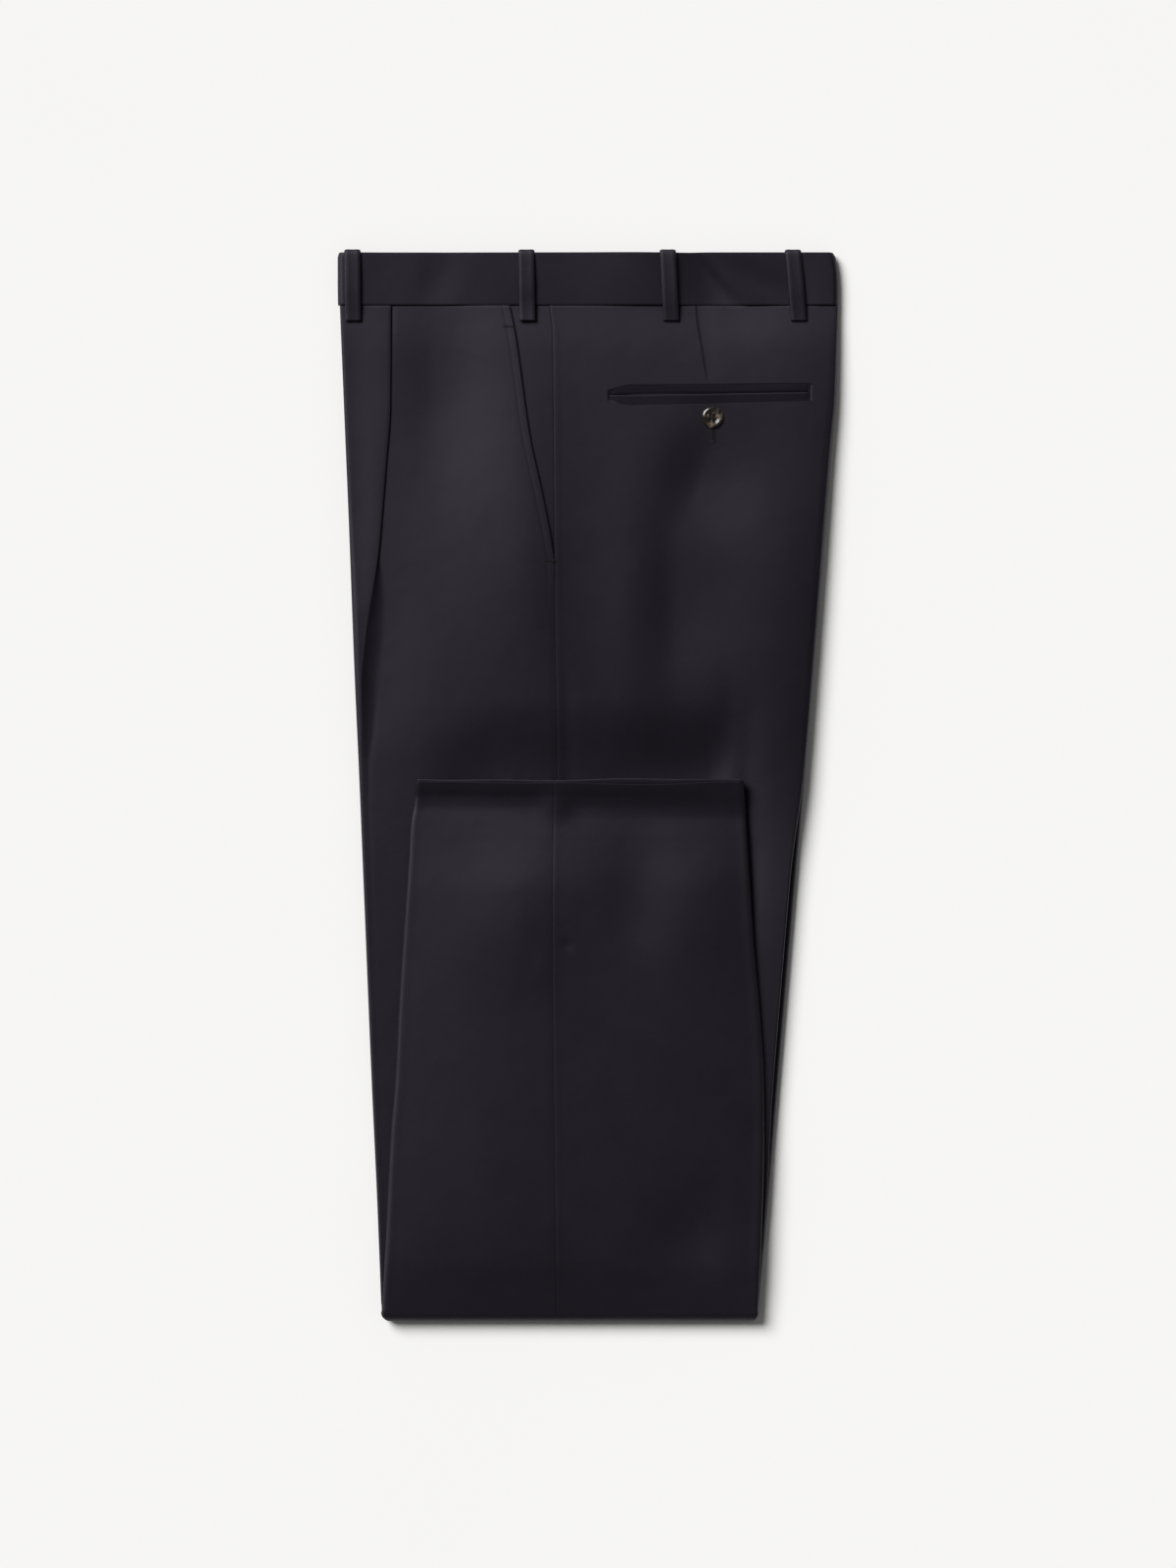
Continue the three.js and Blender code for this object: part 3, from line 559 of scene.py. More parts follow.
def pleat_bends(y, start, level):
    """The pleat's upper bend, from where it starts, and its lower bend, past the straight run"""
    angle, bend, run = pleat_shape(y)
    share = np.linspace(0, 1, 7)[None, 1:] * angle
    nx, nz = np.sin(share), np.cos(share)
    upper = [start + PLEAT_TURN * nx, level - CLOTH / 2 - PLEAT_TURN * (1 - nz), nx, nz]
    run_x = upper[0][:, -1:] + run * np.cos(angle)
    run_z = upper[1][:, -1:] - run * np.sin(angle)
    share = (1 - np.linspace(0, 1, 10)[None, :]) * angle
    nx, nz = np.sin(share), np.cos(share)
    lower = [run_x + bend * (np.sin(angle) - nx), run_z + bend * (np.cos(angle) - nz), nx, nz]
    return upper, lower


def left_front(wool):
    """From the front crease over the strip beside the pleat, round the pleat, and to the side"""
    y = BODY_Y[:, None]
    edge, fold = along(BODY, "left", y), along(PLEAT, "edge", y)
    level = front_top(fold + pleat_reach(y), y) + pleat_step(y)
    tilt = along(PLEAT_TILT, "drop", y)
    roll = level - tilt - CREASE_HEIGHT - SEAM_GAP
    crease = reverse(rolled_edge(edge, level - tilt, roll, np.pi, -1, steps=11))
    strip_start = edge + roll / 2
    turn_start = np.maximum(fold - PLEAT_TURN - CLOTH / 2, strip_start + 0.8)
    strip_x = mix(strip_start, turn_start, np.linspace(0.06, 1, 14)[None, :])
    strip = under(level - tilt * (1 - ease(strip_x, strip_start, turn_start)), strip_x)
    upper_bend, lower_bend = pleat_bends(y, turn_start, level)
    right = front_edge(y)
    pocket = ease(y, POCKET_END - 55, POCKET_END + 10)
    start = lower_bend[0][:, -1:]
    beside_edge = right - EDGE_OFFSETS[None, :]
    panel_x = np.concatenate([between(start, beside_edge[:, :1], 62), beside_edge], 1)
    distance = right - panel_x
    turned = POCKET_LIFT * pocket * ease(-distance, -45, -4)
    stitched = stitch_groove(distance, y) * pocket
    sunk = -SEAM_PRESS * (1 - pocket) * bell(distance, 3.0)
    panel = under(front_top(panel_x, y) + turned + stitched + sunk, panel_x)
    middle, normal = from_sections(join(crease, strip, upper_bend, lower_bend, panel), BODY_Y)
    return cloth_piece(
        "left_front_cloth", middle, normal, CLOTH, wool, "left_front"
    )


def pocket_line(x, row, edge):
    """Where an edge of one of the back pocket's lips runs, at x"""
    share = (x - WELT_LEFT) / (WELT_RIGHT - WELT_LEFT)
    return mix(WELTS[edge + "_left"][row], WELTS[edge + "_right"][row], share)


def pocket_taper(x):
    """The back pocket narrows at its left end"""
    return 1 - ease(x, WELT_LEFT - 3, WELT_LEFT + 16)


def back_detail(x, y):
    """The side seam's ridge, the dart and the dip round the back pocket"""
    seam = x - along(SIDE_SEAM, "x", y) - SEWN_GAP / 2
    ridge = SEAM_RIDGE * bell(seam - 2.2, 1.7) - SEAM_TROUGH * bell(seam - 8, 5) * (1 - ease(y, 50, 110))
    beyond = x - along(DART, "x", y)
    dart = -DART_DEPTH * ease(beyond, -0.8, 0.8) * (1 - ease(beyond, 2, 16)) * ease(y, 276, 290)
    within = ease(x, WELT_LEFT - 1, WELT_LEFT + 3) * (1 - ease(x, WELT_RIGHT + 0.2, WELT_RIGHT + 1.6))
    taper = pocket_taper(x)
    top = pocket_line(x, 0, "upper") - TAPER_TOP * taper
    bottom = pocket_line(x, 1, "lower") + TAPER_BOTTOM * taper
    between = ease(y, bottom + 0.1, bottom + 1.5) * (1 - ease(y, top - 1.0, top + 0.2))
    return ridge + dart - WELT_SINK * within * between


def left_back(wool):
    y = BODY_Y[:, None]
    seam = along(SIDE_SEAM, "x", y) + SEWN_GAP / 2
    edge = along(BODY, "right", y) - along(BODY, "inset", y)
    turn = np.radians(along(BODY, "turn", y))
    top = body_top(edge, y)
    height = top - along(BACK_CREASE, "height", y) - SEAM_GAP
    crease = rolled_edge(edge, top, height, turn, 1, steps=11, sharp=CREASE_SHARPNESS)
    last = crease[0][:, :1]
    near = seam + EDGE_OFFSETS[None, ::-1]
    dart = along(DART, "x", y)
    pocket_end = np.linspace(WELT_LEFT - 6, WELT_LEFT + 14, 26)[None, :]
    towards = [
        between(near[:, -1:], pocket_end[:, :1], 12),
        pocket_end + 0 * y,
        between(pocket_end[:, -1:], dart - 6, 24),
    ]
    beyond = between(dart + 6, last, 44)
    x = np.concatenate([near, *towards, dart + DART_OFFSETS[None, :], beyond], 1)
    panel = under(body_top(x, y) + back_detail(x, y), x)
    middle, normal = from_sections(join(panel, crease), BODY_Y)
    return cloth_piece("left_back_cloth", middle, normal, CLOTH, wool, "left_back")


def pocket_facing(wool):
    y = stations((WAIST_SEAM, POCKET_END + 6, GRID))[:, None]
    start, end = front_edge(y) - FACING_UNDERLAP, along(SIDE_SEAM, "x", y) - SEWN_GAP / 2
    towards = mix(start, end - 5, np.linspace(0, 1, 14)[None, :-1])
    x = np.concatenate([towards, end - EDGE_OFFSETS[None, 5:]], 1)
    middle, normal = from_sections(under(body_top(x, y) - FACING_SINK, x), y)
    return cloth_piece(
        "pocket_facing_cloth", middle, normal, CLOTH, wool, "left_pocket_facing"
    )


def fold_place(angle, x, depth):
    """A point in the fold at the knee, at a depth below its outer face"""
    reach = FOLD_RADIUS - depth
    return x, FOLD_CENTRE - reach * np.cos(angle) + 0 * x, FOLD_RADIUS + reach * np.sin(angle) + 0 * x


# Stations along the right leg, each a column: on the surface, round the fold, and folded over
FLOOR_Y = stations((WAIST_SEAM, FOLD_CENTRE + 8, 14.0))[:, None]
FOLD_ANGLES = np.radians(np.linspace(-90, 90, 17))[:, None]
OVER_Y = np.concatenate([stations((FOLD_CENTRE + 2, -12, GRID), (-12, HEM - 1.2, 1.1)), [HEM]])[:, None]


def over_detail(x, y, side):
    """The pressed side seam, and the edges of the hem that is turned up inside"""
    seam = side * (x - along(OVER_SEAM, "x", y)) - SEWN_GAP / 2
    ridge = SEAM_RIDGE * bell(seam - 2.2, 1.7) if side > 0 else -0.12 * bell(seam, 3.0)
    return ridge - HEM_LINE * bell(y - HEM + HEM_DEPTH, 1.6)


def hem_wave(x):
    """How far the hem's edge wanders from a straight line"""
    return 0.7 * np.cos((x + 78) / 31) - 0.5 * np.sin((x - 20) / 17)


def crease_ridge(distance, side):
    """The pressed edge of a crease stands up a little along a leg's edge"""
    return (0.32 if side > 0 else 0.14) * bell(distance - 3.4, 2.6)


def right_section(left, right, seam, turn, height, side, columns):
    """Half of the right leg at some stations: x, depth below the outer face, and the face's direction"""
    edge = left if side < 0 else right
    turn = np.full_like(turn, np.pi) if side < 0 else turn
    near = seam + side * (SEWN_GAP / 2 + EDGE_OFFSETS[None, ::-1])
    roll = rolled_edge(edge, 0, height, turn, side, sharp=1.3 if side < 0 else CREASE_SHARPNESS)
    far = between(near[:, -1:], roll[0][:, :1], columns)
    x = np.concatenate([near, far], 1)
    reach = np.linspace(0, 1, 5)[None, 1:] * mix(0.2, CREASE_RETURN, ease(turn, np.radians(150), np.pi))
    end = [part[:, -1:] for part in roll]
    back_x, back_z = end[0] + side * np.cos(turn) * reach, end[1] - np.sin(turn) * reach
    back = [back_x, back_z, end[2] + 0 * reach, end[3] + 0 * reach]
    return join(under(0 * x, x), roll, back)


def right_sections(side, columns):
    """The right leg's sections on the surface, round the fold, and where it is folded over"""
    fold_y = np.full_like(FOLD_ANGLES, FOLD_CENTRE)
    corner = FOLD_CORNER * np.cos(FOLD_ANGLES) ** 3
    floor_crease = np.full_like(FLOOR_Y, CREASE_HEIGHT)
    over_crease = np.full_like(OVER_Y, OVER_CREASE)
    if side > 0:
        floor_crease = along(BACK_CREASE, "height", FLOOR_Y)
        over_crease = along(OVER_BACK_CREASE, "height", OVER_Y)
    floor = right_section(
        *sides(BODY, FLOOR_Y), along(SIDE_SEAM, "x", FLOOR_Y),
        np.radians(along(BODY, "turn", FLOOR_Y)), floor_crease, side, columns,
    )
    left, right = sides(BODY, fold_y)
    nose = right_section(
        left + corner, right - corner, along(OVER_SEAM, "x", fold_y), np.full_like(FOLD_ANGLES, np.pi),
        mix(CREASE_HEIGHT, OVER_CREASE, FOLD_ANGLES / np.pi + 0.5), side, columns,
    )
    over = right_section(
        *sides(OVER, OVER_Y), along(OVER_SEAM, "x", OVER_Y),
        np.full_like(OVER_Y, np.pi), over_crease, side, columns,
    )
    return floor, nose, over


def right_panel(side, columns, name, node, wool):
    """One panel of the right leg: under the garment, round the fold and back over it. side is -1 for
    the front and 1 for the back."""
    floor, nose, over = right_sections(side, columns)
    x, depth, nx, nz = floor
    parts = [np.stack([x, FLOOR_Y + 0 * x, -depth], -1)]
    normals = [np.stack([nx, 0 * nx, -nz], -1)]
    x, depth, nx, nz = nose
    parts.append(np.stack(fold_place(FOLD_ANGLES, x, -depth), -1))
    normals.append(np.stack([nx, -np.cos(FOLD_ANGLES) * nz, np.sin(FOLD_ANGLES) * nz], -1))
    x, depth, nx, nz = over
    edge_distance = side * (along(OVER, "left" if side < 0 else "right", OVER_Y) - x)
    fade = ease(OVER_Y, FOLD_CENTRE, FOLD_CENTRE + 40)
    detail = (over_detail(x, OVER_Y, side) + crease_ridge(edge_distance, side)) * fade * np.clip(nz, 0, 1)
    parts.append(np.stack([x, OVER_Y + 0 * x, over_top(x, OVER_Y) + detail + depth], -1))
    parts[-1][..., 1] += hem_wave(x) * ease(OVER_Y, HEM - 20, HEM)
    normals.append(np.stack([nx, 0 * nx, nz], -1))
    middle, normal = np.concatenate(parts), np.concatenate(normals)
    return cloth_piece(name, middle, normal, CLOTH, wool, node)


def waistband(up, name, node, wool):
    y = stations((WAIST_TOP, BAND_OUTLINE["y"][-1], 1.5))[:, None]
    left, right = sides(BAND_OUTLINE, y)
    height = BAND_HEIGHT / 2 - SEAM_GAP / 2
    turn = np.full_like(y, np.pi / 2)
    top = np.full_like(y, BAND_HEIGHT)
    front = reverse(rolled_edge(left, top, height, turn, -1, BAND_CLOTH, 8))
    back = rolled_edge(right, top, height, turn, 1, BAND_CLOTH, 8)
    x = between(left + height, right - height, 150)
    face = band_top(x, y) if up > 0 else BAND_HEIGHT + 0 * x
    flat = under(face, x, BAND_CLOTH)
    middle, normal = from_sections(join(front, flat, back), y)
    middle[..., 2] = BAND_HEIGHT / 2 + up * (middle[..., 2] - BAND_HEIGHT / 2)
    normal[..., 2] *= up
    return cloth_piece(name, middle, normal, BAND_CLOTH, wool, node)


# Hidden layers


HIDDEN_INSET = 5.6  # how far their sides stand in from the lower leg's creases
OVER_INSET = 2.8  # and from those of the leg that is folded over
LOBE = 2.3  # how far their own rolled creases bulge out
PLEAT_ROOM = 3.0  # how much lower they lie under the pleat
# The profile of a rolled crease: share of the way down, and share of its bulge
LOBE_PROFILE = np.array([(0.0, 0), (0.06, 0.55), (0.25, 0.9), (0.5, 1), (0.75, 0.9), (0.94, 0.55), (1.0, 0)])


def hidden_ring(left, right, lobe, inner, place):
    """One ring round the hidden layers: over the outer face, round a crease, back along the inner face
    and round the other crease. inner gives the inner face's depth, and place a point from x and depth."""
    x = np.linspace(left + 1, right - 1, 40)

    def crease(edge, sign):
        deep = inner(np.full(len(LOBE_PROFILE), edge))
        depth = mix(OVER_CREASE + SEAM_GAP, deep, LOBE_PROFILE[:, 0])
        return np.stack(place(edge + sign * LOBE * lobe * LOBE_PROFILE[:, 1], depth), -1)

    top = np.stack(place(x, np.full_like(x, CLOTH + LAYER_GAP)), -1)
    bottom = np.stack(place(x, inner(x)), -1)
    return np.concatenate([top, crease(right, 1), bottom[::-1], crease(left, -1)[::-1]])


def lower_ring(y):
    def inner(x):
        return body_top(x, y) - CLOTH - LAYER_GAP - FACING_SINK - PLEAT_ROOM * (1 - ease(x, -140, -90))

    left, right = sides(BODY, y)
    right = right - along(BODY, "inset", y) - HIDDEN_INSET
    return hidden_ring(left + HIDDEN_INSET, right, 0, inner, lambda x, depth: (x, y + 0 * x, depth))


def fold_ring(angle):
    lobe = float(ease(np.array(angle), -0.2, 1.2))
    inset, corner = mix(HIDDEN_INSET, OVER_INSET, lobe), FOLD_CORNER * math.cos(angle) ** 3
    left, right = sides(BODY, FOLD_CENTRE)
    return hidden_ring(
        left + inset + corner, right - inset - corner, lobe,
        lambda x: 0 * x + FOLD_RADIUS - CLOTH / 2 - LAYER_GAP,
        lambda x, depth: fold_place(angle, x, depth),
    )


def upper_ring(y):
    left, right = sides(OVER, y)
    return hidden_ring(
        left + OVER_INSET, right - OVER_INSET, 1,
        lambda x: over_top(x, y) - body_top(x, y) - LAYER_GAP,
        lambda x, depth: (x, y + 0 * x, over_top(x, y) - depth),
    )


def hidden_layers(wool):
    """The rounded solid between the outer panels, with its own rolled creases"""
    rings = [lower_ring(y) for y in stations((318, FOLD_CENTRE + 8, 12.0))]
    rings += [fold_ring(angle) for angle in FOLD_ANGLES[::2, 0]]
    rings += [upper_ring(y) for y in stations((FOLD_CENTRE + 3, HEM - 9, 8.0))]
    faces = ring_faces(len(rings), len(rings[0]))
    return piece_from("hidden_layers_cloth", np.concatenate(rings), faces, wool)


# For each layer under the hem: its share of the way down, its own hem and its thickness
HEM_LEAVES = ((0.14, 4.1, 1.5), (0.5, 2.9, 1.4), (0.86, 1.9, 1.5))


def hem_leaf(index, wool):
    """One of the layers under the hem: a strip of cloth that rolls over at both creases"""
    share, hem, cloth = HEM_LEAVES[index]
    y = stations((HEM - 16, hem - 1.2, 3.0), (hem - 1.2, hem, 1.2))[:, None]
    left, right = sides(OVER, y)
    x = mix(left + 0.9, right - 0.9, np.linspace(0, 1, 120)[None, :])
    top = over_top(x, y) - OVER_CREASE * ease(np.abs(x - (left + right) / 2), 60, 112) * 0.55
    upper, lower = top - CLOTH - LAYER_GAP, body_top(x, y) + LAYER_GAP
    z = mix(upper - cloth / 2, lower + cloth / 2, share)
    wave = 0.5 * np.sin(x / 31 + 2.1 * index) + 0.35 * np.sin(x / 13 + index)
    middle = np.stack([x, y + wave * ease(y, HEM - 12, hem), z], -1)
    name = f"hem_layer_{index + 1}"
    return small_piece(name, middle, normals_of(middle), cloth, wool, "hidden_layers", (0.6, 0.6))


# Materials


def node_material(name):
    material = bpy.data.materials.new(name)
    material.use_nodes = True
    tree = material.node_tree
    place = add_node(tree, "ShaderNodeTexCoord").outputs["Object"]
    return material, tree, tree.nodes["Principled BSDF"], place


def set_inputs(node, **values):
    for name, value in values.items():
        node.inputs[name.replace("_", " ")].default_value = value


def add_node(tree, kind, **settings):
    node = tree.nodes.new(kind)
    for key, value in settings.items():
        if hasattr(node, key):
            setattr(node, key, value)
        else:
            set_inputs(node, **{key: value})
    return node


def math_node(tree, operation, *values):
    node = add_node(tree, "ShaderNodeMath", operation=operation)
    for socket, value in zip(node.inputs, values):
        if isinstance(value, (int, float)):
            socket.default_value = value
        else:
            tree.links.new(value, socket)
    return node.outputs[0]


def blend_colours(tree, share, low, high, places=(0, 1)):
    """From one colour to the other, where the share is between two places"""
    ramp = add_node(tree, "ShaderNodeValToRGB")
    for element, colour, place in zip(ramp.color_ramp.elements, (low, high), places):
        element.color = (*colour, 1)
        element.position = place
    tree.links.new(share, ramp.inputs[0])
    return ramp.outputs[0]


def noise(tree, vector, scale, detail):
    node = add_node(tree, "ShaderNodeTexNoise", Scale=scale, Detail=detail)
    tree.links.new(vector, node.inputs["Vector"])
    return node.outputs["Fac"]


WOOL_DARK = (0.0036, 0.0028, 0.0050)
WOOL_LIGHT = (0.0062, 0.0050, 0.0082)
TWILL_PITCH = 0.62 * MM
WOOL_SHEEN, CROSS_CUT_SHEEN = 0.30, 0.17  # less where the grain runs across


def wool_material(name, sheen):
    """Fine twill: diagonal ribs over a melange of dark yarns, with soft patches in the nap"""
    material, tree, surface, place = node_material(name)
    split = add_node(tree, "ShaderNodeSeparateXYZ")
    tree.links.new(place, split.inputs[0])
    x, y, z = split.outputs
    rise = math_node(tree, "ADD", math_node(tree, "MULTIPLY", x, 1.25), math_node(tree, "ADD", y, z))
    ribs = math_node(tree, "SINE", math_node(tree, "MULTIPLY", rise, 2 * math.pi / TWILL_PITCH))
    fibres = noise(tree, place, 2600, 3)
    nap = noise(tree, place, 34, 3)
    yarns = noise(tree, place, 900, 2)
    patches, flecks = math_node(tree, "MULTIPLY", nap, 0.65), math_node(tree, "MULTIPLY", yarns, 0.35)
    mottle = math_node(tree, "ADD", patches, flecks)
    spread = math_node(tree, "MULTIPLY_ADD", mottle, 2.2, -0.6)
    tree.links.new(blend_colours(tree, spread, WOOL_DARK, WOOL_LIGHT), surface.inputs["Base Color"])
    relief = math_node(tree, "ADD", math_node(tree, "MULTIPLY", ribs, 0.5), fibres)
    soft = add_node(tree, "ShaderNodeBump", Strength=0.4, Distance=0.0006)
    tree.links.new(noise(tree, place, 48, 2), soft.inputs["Height"])
    bump = add_node(tree, "ShaderNodeBump", Strength=0.35, Distance=0.00012)
    tree.links.new(soft.outputs[0], bump.inputs["Normal"])
    tree.links.new(relief, bump.inputs["Height"])
    tree.links.new(bump.outputs[0], surface.inputs["Normal"])
    rough = math_node(tree, "MULTIPLY_ADD", yarns, 0.1, 0.45)
    tree.links.new(rough, surface.inputs["Roughness"])
    set_inputs(surface, Specular_IOR_Level=sheen, Specular_Tint=(1.0, 0.9, 1.12, 1))
    return material


def grained_material(name, scale, detail, low, high, places=(0, 1), **inputs):
    """A material that wanders from one colour to another"""
    material, tree, surface, place = node_material(name)
    colour = blend_colours(tree, noise(tree, place, scale, detail), low, high, places)
    tree.links.new(colour, surface.inputs["Base Color"])
    set_inputs(surface, **inputs)
    return material


def thread_material():
    dark, light = (0.0030, 0.0025, 0.0042), (0.0060, 0.0052, 0.0080)
    return grained_material("dark_thread", 3000, 1, dark, light, Roughness=0.6, Specular_IOR_Level=0.25)


def horn_material():
    """Mottled brown horn: dark streaks through a paler, glossy ground"""
    dark, pale = (0.010, 0.006, 0.004), (0.16, 0.125, 0.095)
    gloss = {"Roughness": 0.16, "Coat_Weight": 0.6, "Coat_Roughness": 0.08}
    return grained_material("mottled_horn", 240, 3, dark, pale, (0.5, 0.68), **gloss)


def floor_material():
    dim, bright = (0.90, 0.895, 0.88), (0.92, 0.915, 0.90)
    return grained_material("pale_floor", 3, 2, dim, bright, Roughness=0.9, Specular_IOR_Level=0.0)


# Belt loops, pocket lips, button and stitches


def smooth_route(points, count):
    """Evenly spaced points on a Catmull-Rom curve"""
    points = np.asarray(points, float)
    padded = np.concatenate([2 * points[:1] - points[1:2], points, 2 * points[-1:] - points[-2:-1]])
    t = np.linspace(0, len(points) - 1, 40 * len(points))
    i = np.clip(t.astype(int), 0, len(points) - 2)
    f = (t - i)[:, None]
    a, b, c, d = (padded[i + k] for k in range(4))
    square, cube = (2 * a - 5 * b + 4 * c - d) * f**2, (3 * b - a - 3 * c + d) * f**3
    curve = 0.5 * (2 * b + (c - a) * f + square + cube)
    length = np.concatenate([[0], np.cumsum(np.linalg.norm(np.diff(curve, axis=0), axis=1))])
    even = np.linspace(0, length[-1], count)
    return np.stack([np.interp(even, length, curve[:, k]) for k in range(points.shape[1])], 1)


def panel_top(x, y):
    """Outer face of the left leg's panels at one point"""
    fold = along(PLEAT, "edge", y)
    if x < fold:
        return front_top(fold + pleat_reach(y), y) + pleat_step(y)
    return front_top(x, y) if x < front_edge(y) else body_top(x, y)


def loop_route(face, end):
    """A loop's path in y and z: up inside the waistband, over its edge and down to the panel. face is
    the band's outer face, and end the height of the loop's lower end."""
    half = LOOP_CLOTH / 2
    inside = face - BAND_CLOTH - SEAM_GAP - half
    outside = face + SEAM_GAP + half
    crown = WAIST_TOP + SEAM_GAP + half
    points = [
        (LOOP_TUCK, inside),
        (crown - 1.3, inside),
        (crown, inside + 1.6),
        (crown, outside - 1.4),
        (crown - 1.6, outside + 0.35),
        (358, outside + 1.0),
        (345, outside + 1.15),
        (335, outside + 0.7),
        (328, mix(outside, end, 0.45) + 0.25),
        (LOOP_END + 0.4, end + 0.05),
    ]
    return smooth_route(points, 60)


def belt_loop(index, wool):
    """A narrow tube of cloth, pressed flat"""
    top, bottom = BELT_LOOPS["top"][index], BELT_LOOPS["bottom"][index]
    face = float(band_top(np.array(top), 350.0))
    end = float(panel_top(bottom, np.array(LOOP_END))) + SEAM_GAP + LOOP_CLOTH / 2
    route = loop_route(face, end)
    y, z = route[:, :1], route[:, 1:]
    step = np.gradient(route, axis=0)
    step = step / np.linalg.norm(step, axis=1, keepdims=True)
    centre = mix(bottom, top, (y - LOOP_END) / (WAIST_TOP - LOOP_END))
    u = np.linspace(-1, 1, 15)[None, :]
    x = centre + u * LOOP_WIDTH / 2
    ridge = 0.12 * bell(np.abs(u) - 0.6, 0.2) - 0.45 * np.abs(u) ** 6
    ny, nz = step[:, 1:], -step[:, :1]
    middle = np.stack([x, y + ny * ridge, z + nz * ridge], -1)
    normal = np.stack([0 * x, ny + 0 * x, nz + 0 * x], -1)
    node = f"belt_loop_{index + 1}"
    return small_piece(f"{node}_cloth", middle, normal, LOOP_CLOTH, wool, node, (0.7, 0.7))


def welt(index, name, node, wool):
    """One lip of the back pocket, sunk into the panel. The upper one, index 0, rolls under and sags."""
    u = np.linspace(0, 1, 72)[:, None]
    v = np.linspace(0, 1, 13)[None, :]
    x = mix(WELT_LEFT, WELT_RIGHT, u) + 0 * v
    taper = pocket_taper(x)
    lower, upper = pocket_line(x, index, "lower"), pocket_line(x, index, "upper")
    if index == 0:
        y = mix(lower - 0.9, upper - TAPER_TOP * taper, v)
        sag = 0.45 * bell(u - 0.25, 0.24) * (1 - v)
        level = mix(-0.5, -0.3, v) - 0.6 * np.clip(1 - 2 * v, 0, 1) ** 3 - sag
    else:
        y = mix(lower + TAPER_BOTTOM * taper - 0.5, upper, v)
        level = mix(0.02, 0.3, v) - 0.35 * ease(v, 0.88, 1.0)
    z = body_top(x, y) + level - 0.4 * (1 - ease(u, 0, 0.05)) - CLOTH / 2
    middle = np.stack([x, y, z], -1)
    return small_piece(name, middle, normals_of(middle), CLOTH, wool, node)


THREAD_SIDES = 8
PICK_RADIUS, TACK_RADIUS, BUTTONHOLE_RADIUS, BUTTON_THREAD_RADIUS = 0.17, 0.16, 0.2, 0.24
TACK_PITCH, BUTTONHOLE_PITCH = 0.42, 0.55


def capsule(start, end, radius):
    """Vertices and faces of a short thread between two points, with rounded ends"""
    start, end = np.asarray(start, float), np.asarray(end, float)
    axis = (end - start) / np.linalg.norm(end - start)
    aside = np.cross(axis, (0.0, 0.0, 1.0))
    aside /= np.linalg.norm(aside)
    up = np.cross(aside, axis)
    turn = np.linspace(0, 2 * np.pi, THREAD_SIDES, endpoint=False)
    circle = np.cos(turn)[:, None] * aside + np.sin(turn)[:, None] * up
    cap = ((-0.9, 0.35), (-0.5, 0.8), (0.2, 1))  # places along the axis, and widths, in radii
    rings = [(start, push, wide) for push, wide in cap] + [(end, -push, wide) for push, wide in cap[::-1]]
    points = [at + axis * radius * push + circle * radius * wide for at, push, wide in rings]
    return np.concatenate(points), ring_faces(len(rings), THREAD_SIDES)


def threads(name, pairs, radius, material):
    """Many short threads as one mesh"""
    vertices, faces, count = [], [], 0
    for start, end in pairs:
        points, polygons = capsule(start, end, radius)
        faces += [[count + i for i in polygon] for polygon in polygons]
        vertices.append(points)
        count += len(points)
    piece = piece_from(name, np.concatenate(vertices), faces, material)
    return piece


def body_face(x, y):
    """Outer face of the left leg at one point"""
    return float(body_top(x, np.array(y)))


def pocket_surface(x, y):
    """Outer face of the front beside the side pocket's edge"""
    return float(front_top(x, np.array(y)) + POCKET_LIFT)


def pick_stitches(thread):
    """Small hand stitches along the side pocket's edge"""
    pairs = []
    for y in np.arange(POCKET_END + 8, WAIST_SEAM - 6, STITCH_PITCH):
        x = float(front_edge(np.array(y))) - STITCH_INSET
        z = pocket_surface(x, y) - 0.34
        pairs.append(((x, y, z), (x + 0.1, y + 0.8, z)))
    return threads("pocket_pick_stitches", pairs, PICK_RADIUS, thread)


def bar_tack(name, start, end, surface, thread, width=1.5):
    """A bar of close stitches from one point to another"""
    start, end = np.array(start, float), np.array(end, float)
    along_bar = end - start
    across = np.array([-along_bar[1], along_bar[0]]) / np.linalg.norm(along_bar) * width / 2
    count = max(4, round(np.linalg.norm(along_bar) / TACK_PITCH))
    pairs = []
    for i in range(count + 1):
        centre = start + along_bar * i / count
        a, b = centre - across, centre + across
        pairs.append(((*a, surface(*a)), (*b, surface(*b))))
    return threads(name, pairs, TACK_RADIUS, thread)


